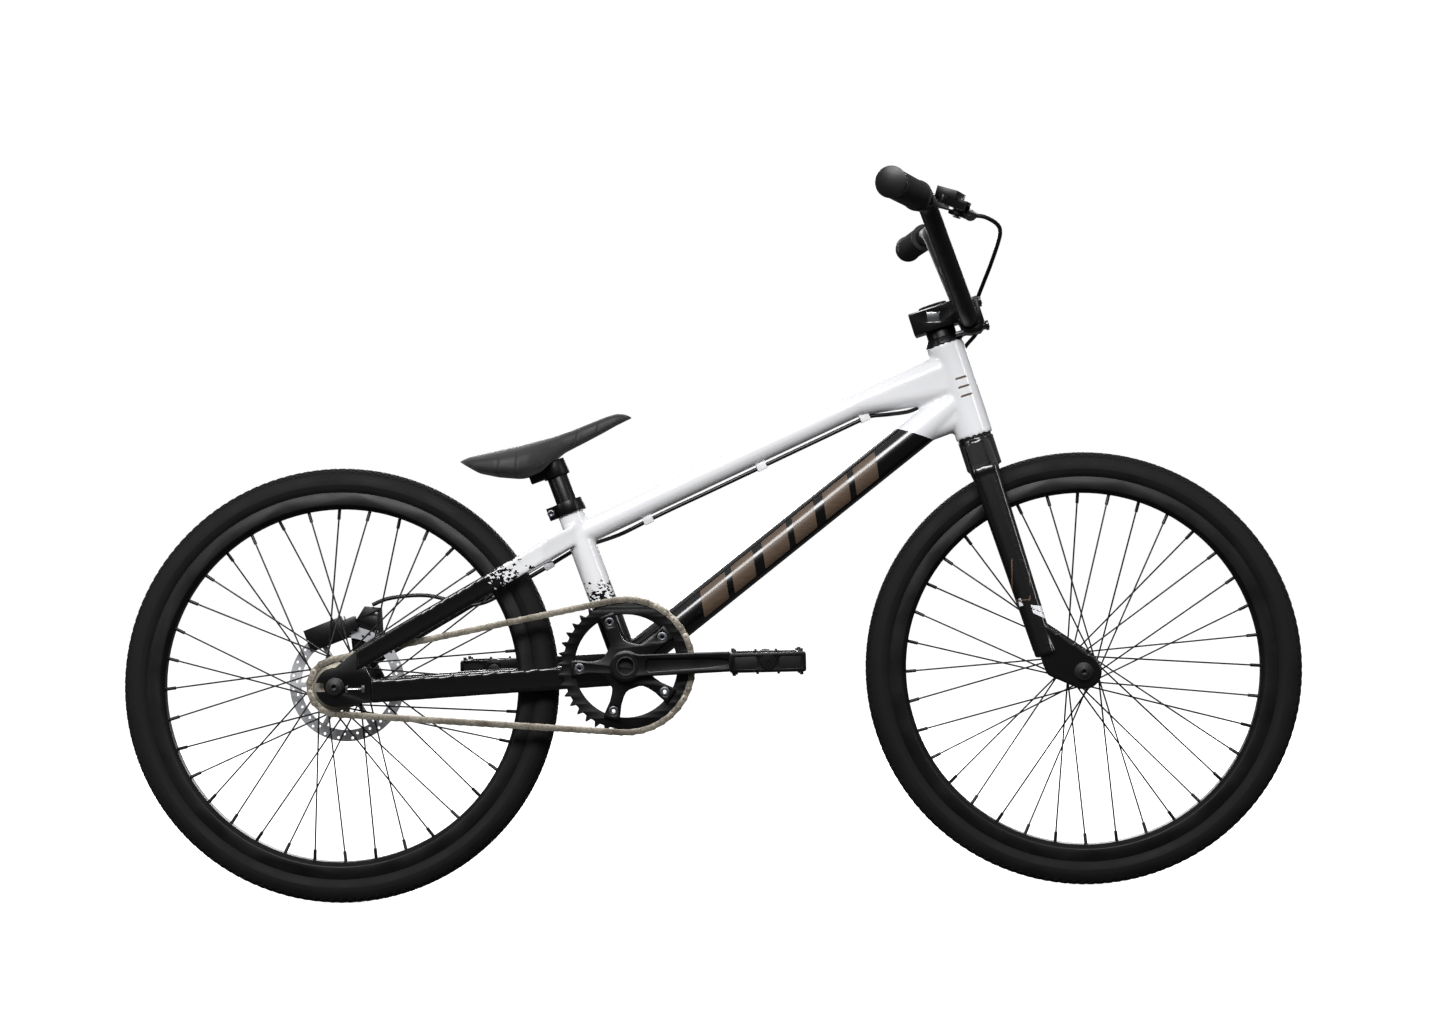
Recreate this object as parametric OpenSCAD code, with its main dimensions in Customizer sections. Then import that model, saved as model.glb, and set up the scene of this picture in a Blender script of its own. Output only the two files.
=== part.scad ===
// A twenty inch race bike with one rear disc brake, its bar parked a few degrees to the right.
// X points forward, Y to the rider's left and Z up. The origin is on the ground, halfway between the axles.

/* [Wheels] */
// Outside radius of both tyres
wheel_r = 260.5; // [250:0.5:275]
// Width of both tyres
tyre_w = 35; // [32:1:38]
// Distance between the two axles
wheelbase = 891; // [880:1:920]
// Spokes in each wheel
spoke_count = 36; // [32, 36]
// Radius of a spoke
spoke_r = 1; // [0.8:0.1:1.2]
// Height of the rim from its inside edge to its flange
rim_depth = 20; // [16:1:24]

/* [Frame] */
// Height of the bottom bracket above the axles
bb_rise = 16.7; // [5:0.1:25]
// Angle of the seat tube to the ground
seat_angle = 70.9; // [68:0.1:74]
// Length of the seat tube from the bottom bracket
seat_tube_len = 206; // [190:1:240]
// Outside radius of the seat tube
seat_tube_r = 16.2; // [15:0.1:18]
// Radius of the seat post
post_r = 12.7; // [11.1:0.1:13.6]
// Length of the head tube
head_len = 118; // [105:1:140]
// Outside radius of the head tube
head_r = 22.5; // [22:0.5:25]
// Radius of the down tube
down_r = 20; // [17:0.5:22]
// Radius of the top tube at its seat end
top_r = 15.2; // [13:0.1:17]
// Wall of the frame tubes
tube_wall = 2; // [1:0.1:3]

/* [Steering] */
// Angle of the steering axis to the ground
head_angle = 73.5; // [71:0.5:75]
// Distance of the front axle ahead of the steering axis
rake = 36.5; // [30:0.5:45]
// Angle the bar is parked at, turned right when negative
steer_rest = -7; // [-15:1:15]
// Width of the bar over its ends
bar_w = 690; // [640:5:760]
// Height of the bar ends above the stem clamp
bar_rise = 141; // [110:1:190]
// Length of a grip
grip_len = 132; // [115:1:150]
// Outside radius of a grip
grip_r = 15.5; // [14:0.1:17]

/* [Drive] */
// Teeth on the chainring
ring_teeth = 39; // [36:1:42]
// Teeth on the rear cog
cog_teeth = 16; // [14:1:18]
// Links in the chain, counted in single pitches
chain_links = 82; // [78:2:90]
// Length of a crank arm between its two centres
crank_len = 165; // [150:1:180]
// Angle of the right crank arm above level
crank_angle = 1.4; // [-180:0.1:180]
// Distance of the chain from the middle of the bike
chain_line = 45; // [43:0.5:47]

/* [Brake] */
// Radius of the brake disc
rotor_r = 70; // [65:1:80]
// Gap between each pad and the disc
pad_gap = 0.3; // [0.2:0.05:0.5]
// Radius of the brake hose
hose_r = 2.5; // [2:0.1:3]

/* [Hidden] */
$fn = 64;
run = 0.05;     // running clearance on a radius
slip = 0.02;    // clearance on a radius between pieces fixed to each other

chain_pitch = 12.7;
function pitch_r(teeth) = chain_pitch / 2 / sin(180 / teeth);
ring_r = pitch_r(ring_teeth);
cog_r = pitch_r(cog_teeth);
roller_r = 3.85;
chain_h = 8.6;
chain_in_w = 3.4;
chain_out_w = 7.4;
tooth_w = 2.8;

// Distance between the two shafts at which the chain is just tight
wrap_pitches = (ring_teeth + cog_teeth) / 2;
lean_pitches = pow((ring_teeth - cog_teeth) / (2 * PI), 2);
half_free = (chain_links - wrap_pitches) / 4;
shaft_gap = chain_pitch * (half_free + sqrt(half_free * half_free - lean_pitches / 2));

// Points of the side plane as [x, z]
rear_axle_at = [-wheelbase / 2, wheel_r];
bb_at = rear_axle_at + [sqrt(shaft_gap * shaft_gap - bb_rise * bb_rise), bb_rise];
seat_dir = [-cos(seat_angle), sin(seat_angle)];
head_dir = [-cos(head_angle), sin(head_angle)];
head_normal = [sin(head_angle), cos(head_angle)];
steer_foot = [wheelbase / 2, wheel_r] - rake * head_normal;
crown_gap = 5.5;
crown_h = 38;
crown_low = wheel_r + crown_gap;
head_low = crown_low + crown_h + 2;
head_high = head_low + head_len;

function side(p, y = 0) = [p.x, y, p.y];
function on_seat(t) = bb_at + t * seat_dir;
function on_head(v) = steer_foot + v * head_dir;
function mix(a, b, t) = a + (b - a) * t;
function flip(p, s) = [p.x, s * p.y, p.z];

// A round bar or cone from one point to another
module rod(p, q, r, r_end = undef) {
    d = q - p;
    long = norm(d);
    translate(p)
        rotate([0, acos(d.z / long), atan2(d.y, d.x)])
            cylinder(h = long, r1 = r, r2 = is_undef(r_end) ? r : r_end);
}

// A disc or drum along Y between two places
module drum(y0, y1, r) {
    translate([0, y0, 0]) rotate([-90, 0, 0]) cylinder(h = y1 - y0, r = r);
}

module ring(y0, y1, r, bore) {
    difference() {
        drum(y0, y1, r);
        drum(y0 - 1, y1 + 1, bore);
    }
}

module both_sides() {
    children();
    mirror([0, 1, 0]) children();
}

module at_side(p, y = 0) {
    translate(side(p, y)) children();
}

// Puts a piece that is built round the steering axis where the fork stands
module steered() {
    translate(side(steer_foot))
        rotate([0, head_angle - 90, 0])
            rotate([0, 0, steer_rest])
                children();
}

module at_front_axle() {
    steered() translate([rake, 0, 0]) rotate([0, 90 - head_angle, 0]) children();
}

// Points along a line through several corners, each corner rounded to the bend radius
function rounded_path(points, bend, steps) = let (
        last = len(points) - 1,
        heading = [for (i = [0 : last - 1]) (points[i + 1] - points[i]) / norm(points[i + 1] - points[i])])
    [
        points[0],
        for (i = [1 : last - 1]) let (
                cosine = heading[i - 1] * heading[i],
                turn = acos(cosine),
                start = points[i] - heading[i - 1] * bend * tan(turn / 2),
                inward = (heading[i] - heading[i - 1] * cosine) / sin(turn))
            each [for (k = [0 : steps]) let (a = turn * k / steps)
                start + bend * (heading[i - 1] * sin(a) + inward * (1 - cos(a)))],
        points[last],
    ];

function path_heading(path, i) = let (
        a = path[max(0, i - 1)], b = path[min(len(path) - 1, i + 1)])
    (b - a) / norm(b - a);

function path_ring(path, i, r, sides, flat) = let (
        t = path_heading(path, i),
        x = cross(t, flat) / norm(cross(t, flat)),
        y = cross(t, x))
    [for (k = [0 : sides - 1]) path[i] + r * (x * cos(k * 360 / sides) + y * sin(k * 360 / sides))];

// A round bar swept along a path, hollow when it has a bore
module swept(path, r, sides, flat, bore = 0) {
    last = len(path) - 1;
    count = sides * (last + 1);
    outer = [for (i = [0 : last]) each path_ring(path, i, r, sides, flat)];
    inner = bore > 0 ? [for (i = [0 : last]) each path_ring(path, i, bore, sides, flat)] : [];
    walls = [for (i = [0 : last - 1]) for (k = [0 : sides - 1]) let (
            n = (k + 1) % sides, a = i * sides + k, b = i * sides + n)
        each [[a, a + sides, b + sides], [a, b + sides, b]]];
    bore_walls = bore > 0 ? [for (f = walls) [f[0] + count, f[2] + count, f[1] + count]] : [];
    ends = bore > 0 ?
        [for (k = [0 : sides - 1]) let (n = (k + 1) % sides, e = last * sides) each [
            [k, n, n + count], [k, n + count, k + count],
            [e + k, e + n + count, e + n], [e + k, e + k + count, e + n + count]]] :
        [[for (k = [0 : sides - 1]) k], [for (k = [sides - 1 : -1 : 0]) last * sides + k]];
    polyhedron(points = concat(outer, inner), faces = concat(walls, bore_walls, ends));
}

// ---------------------------------------------------------------- frame

top_seat = on_seat(167);
top_head = on_head(head_high - 28);
top_low = on_head(head_high - 52);
top_mid = mix(top_seat, top_head, 0.76) + [0, 5];
top_mid_r = 14;
flare_r = 20;
down_head = on_head(head_low + 51);
down_low = on_head(head_low + 30);
bb_len = 68;
bb_r = 22;
bb_bore = 17.4;
rear_old = 110;
front_old = 100;
axle_r = 5;

module head_outer() {
    rod(side(on_head(head_low)), side(on_head(head_high)), head_r);
}

module seat_outer(grow = 0) {
    rod(side(on_seat(0)), side(on_seat(seat_tube_len)), seat_tube_r + grow);
}

module bb_outer() {
    at_side(bb_at) drum(-bb_len / 2, bb_len / 2, bb_r);
}

module top_solid(less = 0) {
    hull() {
        top_end(top_seat, top_r - less);
        top_end(top_mid, top_mid_r - less);
    }
    hull() {
        top_end(mix(top_seat, top_mid, 0.98), top_mid_r + 0.2 - less);
        top_end(top_head, flare_r - less);
        top_end(top_low, flare_r - 1 - less);
    }
}

module top_end(p, r) {
    at_side(p) rotate([0, 90 - top_lean, 0]) cylinder(h = 2, r = r, center = true, $fn = 48);
}

module down_solid(less = 0) {
    rod(side(bb_at), side(down_head), down_r - less);
    rod(side(mix(bb_at, down_head, 0.86)), side(down_low), down_r - 5 - less, down_r - 3 - less);
}

module head_tube() {
    color("white") difference() {
        head_outer();
        rod(side(on_head(head_low - 1)), side(on_head(head_high + 1)), steerer_r + 3.5);
        rod(side(on_head(head_low - 1)), side(on_head(head_low + bearing_h)), bearing_r);
        rod(side(on_head(head_high - bearing_h)), side(on_head(head_high + 1)), bearing_r);
    }
}

module top_tube() {
    color("white") difference() {
        top_solid();
        top_solid(tube_wall);
        head_outer();
        seat_outer();
    }
}

module down_tube() {
    color("black") difference() {
        down_solid();
        down_solid(tube_wall);
        head_outer();
        seat_outer();
        bb_outer();
        top_solid();
    }
}

module seat_tube() {
    color("white") difference() {
        seat_outer();
        rod(side(on_seat(30)), side(on_seat(seat_tube_len + 1)), post_r + run);
        bb_outer();
        at_side(on_seat(seat_tube_len - 12)) rotate([0, seat_angle - 90, 0])
            translate([-seat_tube_r, 0, 0]) cube([seat_tube_r * 2, 2, 30], center = true);
    }
}

module bb_shell() {
    color("black") difference() {
        bb_outer();
        at_side(bb_at) drum(-bb_len, bb_len, bb_bore);
    }
}

// Stays are the part of a plan outline that also lies inside a side outline
module stay(plan, elevation) {
    intersection() {
        translate([0, 0, 100]) linear_extrude(500) polygon(plan);
        translate([0, 200, 0]) rotate([90, 0, 0]) linear_extrude(400) polygon(elevation);
    }
}

drop_in = rear_old / 2;
drop_t = 7;
stay_out = drop_in + drop_t;
cs_x = [bb_at.x - 6, bb_at.x - 30, bb_at.x - 100, rear_axle_at.x + 42];
cs_y = [26.2, 26.4, 32, drop_in + 1];
cs_half_w = 7.5;
cs_half_h = 13.5;
cs_z = [bb_at.y - 10, rear_axle_at.y - 6];

module chainstay(less = 0) {
    w = cs_half_w - less;
    h = cs_half_h - less;
    inset = less > 0 ? 3 : 0;
    xs = [cs_x[0], cs_x[1], cs_x[2], cs_x[3] + inset];
    stay([for (i = [0 : 3]) [xs[i], cs_y[i] - w], for (i = [3 : -1 : 0]) [xs[i], cs_y[i] + w]],
        [[xs[0], cs_z[0] - h], [xs[3], cs_z[1] - h], [xs[3], cs_z[1] + h], [xs[0], cs_z[0] + h]]);
}

module chainstays() {
    color("black") both_sides() difference() {
        chainstay();
        chainstay(tube_wall);
        bb_outer();
    }
}

ss_top = on_seat(169.5);
ss_low = rear_axle_at + [26, 31];
ss_x = [ss_top.x, ss_top.x - 42, rear_axle_at.x + 100, ss_low.x];
ss_y = [9, 28.5, drop_in + 1, drop_in + 1.5];
ss_half_w = 6.5;
ss_half_h = 11.1;
ss_lean = atan2(ss_top.y - ss_low.y, ss_top.x - ss_low.x);

module seatstay(less = 0) {
    w = ss_half_w - less;
    h = (ss_half_h - less) / cos(ss_lean);
    inset = less > 0 ? 3 : 0;
    xs = [ss_x[0], ss_x[1], ss_x[2], ss_x[3] + inset];
    stay([for (i = [0 : 3]) [xs[i], ss_y[i] - w], for (i = [3 : -1 : 0]) [xs[i], ss_y[i] + w]],
        [[xs[0], ss_top.y - h], [xs[3], ss_low.y - h], [xs[3], ss_low.y + h], [xs[0], ss_top.y + h]]);
}

module seatstays() {
    color("white") both_sides() difference() {
        seatstay();
        seatstay(tube_wall);
        seat_outer();
    }
}

drop_r = 23;
slot_w = 2 * (axle_r + 0.1);

module dropouts() {
    color("black") both_sides() difference() {
        union() {
            at_side(rear_axle_at) drum(drop_in, stay_out, drop_r);
            translate([0, stay_out, 0]) rotate([90, 0, 0]) linear_extrude(drop_t) polygon([
                rear_axle_at + [4, -drop_r + 2], [cs_x[3] + 1, cs_z[1] - cs_half_h],
                [cs_x[3] + 1, cs_z[1] + cs_half_h], [ss_low.x + 8, ss_low.y - 4],
                [ss_low.x + 2, ss_low.y + 13], rear_axle_at + [-2, drop_r - 2]]);
        }
        at_side(rear_axle_at) drum(drop_in - 1, stay_out + 1, axle_r + 0.1);
        at_side(rear_axle_at + [-drop_r - 5, -slot_w / 2], drop_in - 1) cube([drop_r + 5, drop_t + 2, slot_w]);
        chainstay();
        seatstay();
    }
}

// Hose clips under the top tube and under the left stay, each drilled for the hose
clip_low = 8.6;
clip_spots = [0.985, 0.62, 0.22];
clip_bore = hose_r + 0.4;
stay_clip = [-196, 29, 399];

function top_under(t) = let (d = (top_mid - top_seat) / norm(top_mid - top_seat))
    mix(top_seat, top_mid, t) + [d.y, -d.x] * (mix(top_r, top_mid_r, t));
top_lean = atan2(top_mid.y - top_seat.y, top_mid.x - top_seat.x);

module hose_guides() {
    color("white") {
        for (t = clip_spots)
            difference() {
                at_side(top_under(t)) rotate([0, -top_lean, 0])
                    translate([-6, -5, -clip_low]) cube([12, 10, clip_low + 3]);
                at_side(top_under(t)) rotate([0, -top_lean, 0])
                    translate([-10, 0, -clip_low + hose_r + 1.6]) rotate([0, 90, 0])
                        cylinder(h = 20, r = clip_bore);
                top_solid();
            }
        difference() {
            translate(stay_clip) rotate([0, -ss_lean, 0]) translate([-6, -5, -4]) cube([12, 10, 14]);
            seatstay();
            translate(stay_clip) rotate([0, -ss_lean, 0]) rotate([0, 90, 0])
                cylinder(h = 40, r = clip_bore, center = true);
        }
    }
}

clamp_h = 15;
clamp_wall = 3;
clamp_at = seat_tube_len - 4;

module on_clamp() {
    at_side(on_seat(clamp_at)) rotate([0, seat_angle - 90, 0]) children();
}

module seat_clamp() {
    color("black") on_clamp() difference() {
        union() {
            translate([0, 0, -clamp_h / 2]) cylinder(h = clamp_h, r = seat_tube_r + clamp_wall);
            translate([-seat_tube_r - 10, -8, -clamp_h / 2]) cube([12, 16, clamp_h]);
        }
        translate([0, 0, -clamp_h]) cylinder(h = 2 * clamp_h, r = seat_tube_r + slip);
        translate([-seat_tube_r - 12, -1, -clamp_h]) cube([16, 2, 2 * clamp_h]);
        translate([-seat_tube_r - 6, 0, 0]) drum(-20, 20, 2.5 + slip);
    }
}

module seat_clamp_bolt() {
    color("silver") on_clamp() translate([-seat_tube_r - 6, 0, 0]) {
        drum(-8, 8, 2.5);
        difference() {
            drum(-11.5, -8, 4.4);
            drum(-13, -9.5, 2);
        }
        drum(8, 10, 4.4);
    }
}

bearing_h = 7;
bearing_r = 20.5;
steerer_r = 14.3;

module headset_bearings() {
    color("silver")
        for (v = [head_low, head_high - bearing_h])
            difference() {
                rod(side(on_head(v)), side(on_head(v + bearing_h)), bearing_r - slip);
                rod(side(on_head(v - 1)), side(on_head(v + bearing_h + 1)), steerer_r + run);
            }
}

spindle_r = 12;
cup_r = 21.3;
cup_out = 42.5;

module bb_cups() {
    color("black") at_side(bb_at) both_sides() difference() {
        union() {
            drum(18, bb_len / 2, bb_bore - slip);
            drum(bb_len / 2, cup_out, cup_r);
        }
        drum(0, 60, spindle_r + run);
    }
}

hub_end = 50;
bolt_head_r = 9.5;

module axle(half_gap, plate, hub_half) {
    difference() {
        union() {
            drum(-half_gap - plate - 9, half_gap + plate + 9, axle_r);
            both_sides() {
                drum(hub_half + 0.4, half_gap, 8.5);
                drum(half_gap + plate, half_gap + plate + 2, 11);
                drum(half_gap + plate + 2, half_gap + plate + 8, bolt_head_r);
            }
        }
        both_sides() translate([0, half_gap + plate + 4, 0]) rotate([-90, 0, 0]) cylinder(h = 20, r = 3, $fn = 6);
    }
}

module rear_axle() {
    color("dimgray") at_side(rear_axle_at) axle(drop_in, drop_t, hub_end);
}

// Chain tensioners: a small bridge with a bolt on the face of each dropout
module chain_tensioners() {
    color("silver") both_sides() translate([rear_axle_at.x, stay_out, rear_axle_at.y - 3]) {
        translate([12.5, 0, -4]) cube([3, 3, 8]);
        translate([15.5, 1.5, 0]) rotate([0, 90, 0]) cylinder(h = 16, r = 1.4);
        translate([31.5, 0, -4]) cube([3.5, 3, 8]);
    }
}

// Pin centres of the chain, from the front of the top run, round the cog and back round the ring
ring_arc_half = 90 + asin((ring_r - cog_r) / shaft_gap);
cog_arc_half = 180 - ring_arc_half;
line_up = atan2(bb_rise, bb_at.x - rear_axle_at.x);
free_run = shaft_gap * sin(ring_arc_half) / chain_pitch;
ring_run = 2 * ring_arc_half * ring_teeth / 360;
cog_run = 2 * cog_arc_half * cog_teeth / 360;
loop_run = ring_run + cog_run + 2 * free_run;

function around(c, r, a) = c + r * [cos(a), sin(a)];
function chain_point(s, out = 0) = let (
        u = s * loop_run / chain_links,
        top_ring = around(bb_at, ring_r + out, line_up + ring_arc_half),
        low_ring = around(bb_at, ring_r + out, line_up - ring_arc_half),
        top_cog = around(rear_axle_at, cog_r + out, line_up + ring_arc_half),
        low_cog = around(rear_axle_at, cog_r + out, line_up - ring_arc_half))
    u <= ring_run ? around(bb_at, ring_r + out, line_up - ring_arc_half + u * 360 / ring_teeth) :
    u <= ring_run + free_run ? mix(top_ring, top_cog, (u - ring_run) / free_run) :
    u <= ring_run + free_run + cog_run ?
        around(rear_axle_at, cog_r + out, line_up + ring_arc_half + (u - ring_run - free_run) * 360 / cog_teeth) :
    mix(low_cog, low_ring, (u - ring_run - free_run - cog_run) / free_run);

ring_phase = line_up - ring_arc_half;
first_on_cog = ceil((ring_run + free_run) * chain_links / loop_run);
cog_phase = line_up + ring_arc_half + (first_on_cog * loop_run / chain_links - ring_run - free_run) * 360 / cog_teeth;

module chain_plates(y, thick) {
    translate([0, y + thick / 2, 0]) rotate([90, 0, 0]) linear_extrude(thick) difference() {
        polygon([for (k = [0 : chain_links - 1]) chain_point(k, chain_h / 2)]);
        polygon([for (k = [0 : chain_links - 1]) chain_point(k, -chain_h / 2)]);
    }
}

module chain() {
    plate = (chain_out_w - chain_in_w) / 2;
    color("tan") {
        for (s = [-1, 1])
            chain_plates(-chain_line + s * (chain_in_w + plate) / 2, plate);
        for (k = [0 : chain_links - 1])
            at_side(chain_point(k), -chain_line) drum(-chain_in_w / 2 - 0.5, chain_in_w / 2 + 0.5, roller_r);
    }
}

function spline_point(p, i, t) = let (
        a = p[max(0, i - 1)], b = p[i], c = p[min(len(p) - 1, i + 1)], d = p[min(len(p) - 1, i + 2)])
    0.5 * (2 * b + (c - a) * t + (2 * a - 5 * b + 4 * c - d) * t * t + (3 * b - a - 3 * c + d) * t * t * t);

module hose(points, steps) {
    swept([for (i = [0 : len(points) - 2]) for (k = [0 : steps - 1]) spline_point(points, i, k / steps),
        points[len(points) - 1]], hose_r, 8, [0, 0.3, 1]);
}

hose_split = [290, 36, 618];
rear_hose_route = [
    hose_split, [274, 29, 593], [250, 16, 578], [222, 4, 573.0], [198, 0.2, 570.9], [184, 0, 565.6], [130, 0, 541.5], [65, 0, 512.5],
    [0, 0, 483.5], [-40, 0, 466], [-74, 0, 450.5], [-105, 5, 436], [-130, 20, 428], [-158, 25, 420],
    [-180, 28, 408.5], [-196, 29, 399], [-212, 30, 390], [-240, 34, 374.5], [-262, 35, 362], [-280, 34, 355],
    [-300, 33, 354], [-345, 36, 366], [-390, 38, 364], [-413, 39, 356],
];

module brake_hose_rear() {
    color("black") hose(rear_hose_route, 3);
}

// ---------------------------------------------------------------- rear brake
rotor_t = 1.8;
rotor_y = 39;
pad_t = 3;
pad_at = 62;
caliper_angle = 110;

bracket_t = 11;
caliper_bolt_at = [[36, 84], [36, 62]];

module at_caliper() {
    at_side(rear_axle_at, rotor_y) rotate([0, -caliper_angle, 0]) translate([pad_at, 0, 0]) children();
}

module pad_shape(grow = 0) {
    translate([-9 - grow, 0, -13 - grow]) cube([18 + 2 * grow, pad_t, 26 + 2 * grow]);
}

module brake_caliper() {
    color("black") {
        difference() {
            at_caliper() {
                translate([-10, -13, -25]) cube([27, 26, 50]);
                translate([-4, -9, -38]) cube([16, 18, 14]);
            }
            at_caliper() {
                translate([-20, -rotor_t / 2 - 1.6, -40]) cube([30, rotor_t + 3.2, 80]);
                translate([0, rotor_t / 2 + pad_gap, 0]) {
                    translate([-11, -1.5, -14]) cube([22, pad_t + 2, 28]);
                }
                mirror([0, 1, 0]) translate([0, rotor_t / 2 + pad_gap, 0])
                    translate([-11, -1.5, -14]) cube([22, pad_t + 2, 28]);
            }
        }
        difference() {
            translate([0, drop_in, 0]) rotate([90, 0, 0]) linear_extrude(bracket_t) polygon([
                rear_axle_at + [10, 22], rear_axle_at + [26, 24], rear_axle_at + [44, 52],
                rear_axle_at + [42, 92], rear_axle_at + [22, 94], rear_axle_at + [4, 66], rear_axle_at + [6, 44]]);
            at_caliper() translate([-10.2, -13.2, -25.2]) cube([27.4, 26.4, 50.4]);
            at_caliper() translate([-4.2, -9.2, -38.2]) cube([16.4, 18.4, 14.4]);
            seatstay();
            at_side(rear_axle_at) drum(0, rotor_y + 3, rotor_r + 2);
            for (p = caliper_bolt_at) at_side(rear_axle_at + p) drum(0, 60, 2.5 + slip);
        }
    }
}

module caliper_bolts() {
    color("silver")
        for (p = caliper_bolt_at)
            at_side(rear_axle_at + p, 0) {
                drum(drop_in - bracket_t, drop_in, 2.5);
                drum(drop_in, drop_in + 3, 4.2);
            }
}

module pad(s) {
    at_caliper() translate([0, s > 0 ? rotor_t / 2 + pad_gap : -rotor_t / 2 - pad_gap - pad_t, 0]) pad_shape();
}

module brake_pad_inner() { color("dimgray") pad(-1); }
module brake_pad_outer() { color("dimgray") pad(1); }

// ---------------------------------------------------------------- seat
post_low = 110;
post_high = 258;

module seatpost() {
    color("black") rod(side(on_seat(post_low)), side(on_seat(post_high)), post_r);
}

module saddle_base() {
    color("black") difference() {
        union() {
            rod(side(on_seat(post_high - 16)), side(on_seat(post_high + 3)), post_r + 3.2);
            at_side(on_seat(post_high - 14)) rotate([0, seat_angle - 90, 0])
                translate([-32, -9, 0]) cube([20, 18, 15]);
        }
        rod(side(on_seat(post_low)), side(on_seat(post_high)), post_r + slip);
    }
}

saddle_at = on_seat(post_high + 3);

module saddle_pad() {
    color("black") difference() {
        hull() {
            for (s = [-1, 1]) {
                at_side(saddle_at + [-96, 4], s * 34) sphere(r = 8, $fn = 24);
                at_side(saddle_at + [-42, -5], s * 47) sphere(r = 7, $fn = 24);
                at_side(saddle_at + [20, 14], s * 14) sphere(r = 7, $fn = 24);
            }
            at_side(saddle_at + [-102, 7], 0) sphere(r = 7, $fn = 24);
            at_side(saddle_at + [-40, 12], 0) sphere(r = 8, $fn = 24);
            at_side(saddle_at + [90, 46], 0) sphere(r = 8, $fn = 24);
        }
        rod(side(on_seat(post_high - 18)), side(on_seat(post_high + 3)), post_r + 3.2);
        at_side(on_seat(post_high - 14)) rotate([0, seat_angle - 90, 0])
            translate([-32, -9, 0]) cube([20, 18, 15]);
    }
}

// ---------------------------------------------------------------- fork and bar, round the steering axis
crown_r = 21.5;
stem_low = head_high + 18;
stem_high = stem_low + 28;
bar_u = 36;
bar_v = stem_low + 1.5;
bar_r = 11.1;
bar_wall = 1.5;
fork_in = front_old / 2;
fork_t = 7;

module tube_v(v0, v1, r) {
    translate([0, 0, v0]) cylinder(h = v1 - v0, r = r);
}

module fork_steerer() {
    color("black") steered() difference() {
        union() {
            tube_v(crown_low + 10, stem_high - 2, steerer_r);
            tube_v(head_low - 1.5, head_low - 0.3, crown_r - 1);
        }
        tube_v(crown_low + 5, stem_high, steerer_r - 2.5);
    }
}

module leg_slab(at, half_u, half_y) {
    translate(at)
        for (s = [-1, 1])
            translate([s * (half_u - half_y), 0, 0]) cylinder(h = 4, r = half_y, center = true, $fn = 32);
}

module fork_legs() {
    color("black") steered() difference() {
        union() {
            tube_v(crown_low, crown_low + crown_h + 0.5, crown_r);
            hull() both_sides() {
                leg_slab([-1, 14, crown_low + 30], 16, 8);
                leg_slab([-1, 34, crown_low - 4], 17.5, 9.5);
            }
            both_sides() {
                hull() {
                    leg_slab([-1, 33.4, crown_low + 1], 17, 9);
                    leg_slab([0, fork_in + 3.5, 34], 12.5, 8);
                }
                hull() {
                    translate([4, fork_in + fork_t, 60]) rotate([90, 0, 0]) cylinder(h = fork_t, r = 9, $fn = 32);
                    translate([4, fork_in + fork_t, 14]) rotate([90, 0, 0]) cylinder(h = fork_t, r = 10, $fn = 32);
                    translate([rake, fork_in + fork_t, 0]) rotate([90, 0, 0]) cylinder(h = fork_t, r = 21, $fn = 32);
                }
            }
        }
        tube_v(crown_low + 10, crown_low + 60, steerer_r + slip);
        translate([rake, 0, 0]) drum(-80, 80, axle_r + 0.1);
        translate([rake, 0, 0]) drum(-tyre_w / 2 - 3, tyre_w / 2 + 3, wheel_r + 3.5);
    }
}

module front_axle() {
    color("dimgray") at_front_axle() axle(fork_in, fork_t, fork_in - 4);
}

module headset_cover() {
    color("black") steered() difference() {
        union() {
            translate([0, 0, head_high + 0.3]) cylinder(h = 8, r1 = 23.5, r2 = 20);
            tube_v(head_high + 8.3, stem_low, 18);
        }
        tube_v(head_high - 1, stem_low + 1, steerer_r + slip);
    }
}

module stem_body() {
    color("black") steered() difference() {
        union() {
            translate([0, 0, stem_low]) cylinder(h = stem_high - stem_low, r = 21);
            translate([-28, -17, stem_low + 1]) cube([28, 34, stem_high - stem_low - 2]);
            translate([0, -25, stem_low - 8]) cube([bar_u - 0.5, 50, 32]);
        }
        translate([bar_u, 0, bar_v]) drum(-40, 40, bar_r + slip);
        tube_v(stem_low - 20, stem_high + 10, steerer_r + slip);
        tube_v(stem_low - 20, stem_low, 24);
        translate([-40, -1, stem_low - 5]) cube([26, 2, 50]);
        translate([-23, 0, 0]) for (v = [stem_low + 8, stem_low + 20]) translate([0, 0, v]) drum(-30, 30, 3 + slip);
        for (s = [-1, 1]) for (v = [-12.5, 17.5]) translate([12, s * 18, bar_v + v - 2.5 + 1])
            rotate([0, 90, 0]) cylinder(h = 40, r = 3 + slip);
    }
}

module stem_cap() {
    color("black") steered() {
        difference() {
            translate([bar_u + 0.5, -25, stem_low - 8]) cube([17, 50, 32]);
            translate([bar_u, 0, bar_v]) drum(-40, 40, bar_r + slip);
            for (s = [-1, 1]) for (v = [-12.5, 17.5]) translate([12, s * 18, bar_v + v - 2.5 + 1])
                rotate([0, 90, 0]) cylinder(h = 60, r = 3 + slip);
        }
        difference() {
            tube_v(stem_high, stem_high + 3.5, 17.5);
            tube_v(stem_high + 1.5, stem_high + 9, 4.5);
        }
    }
}

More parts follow.
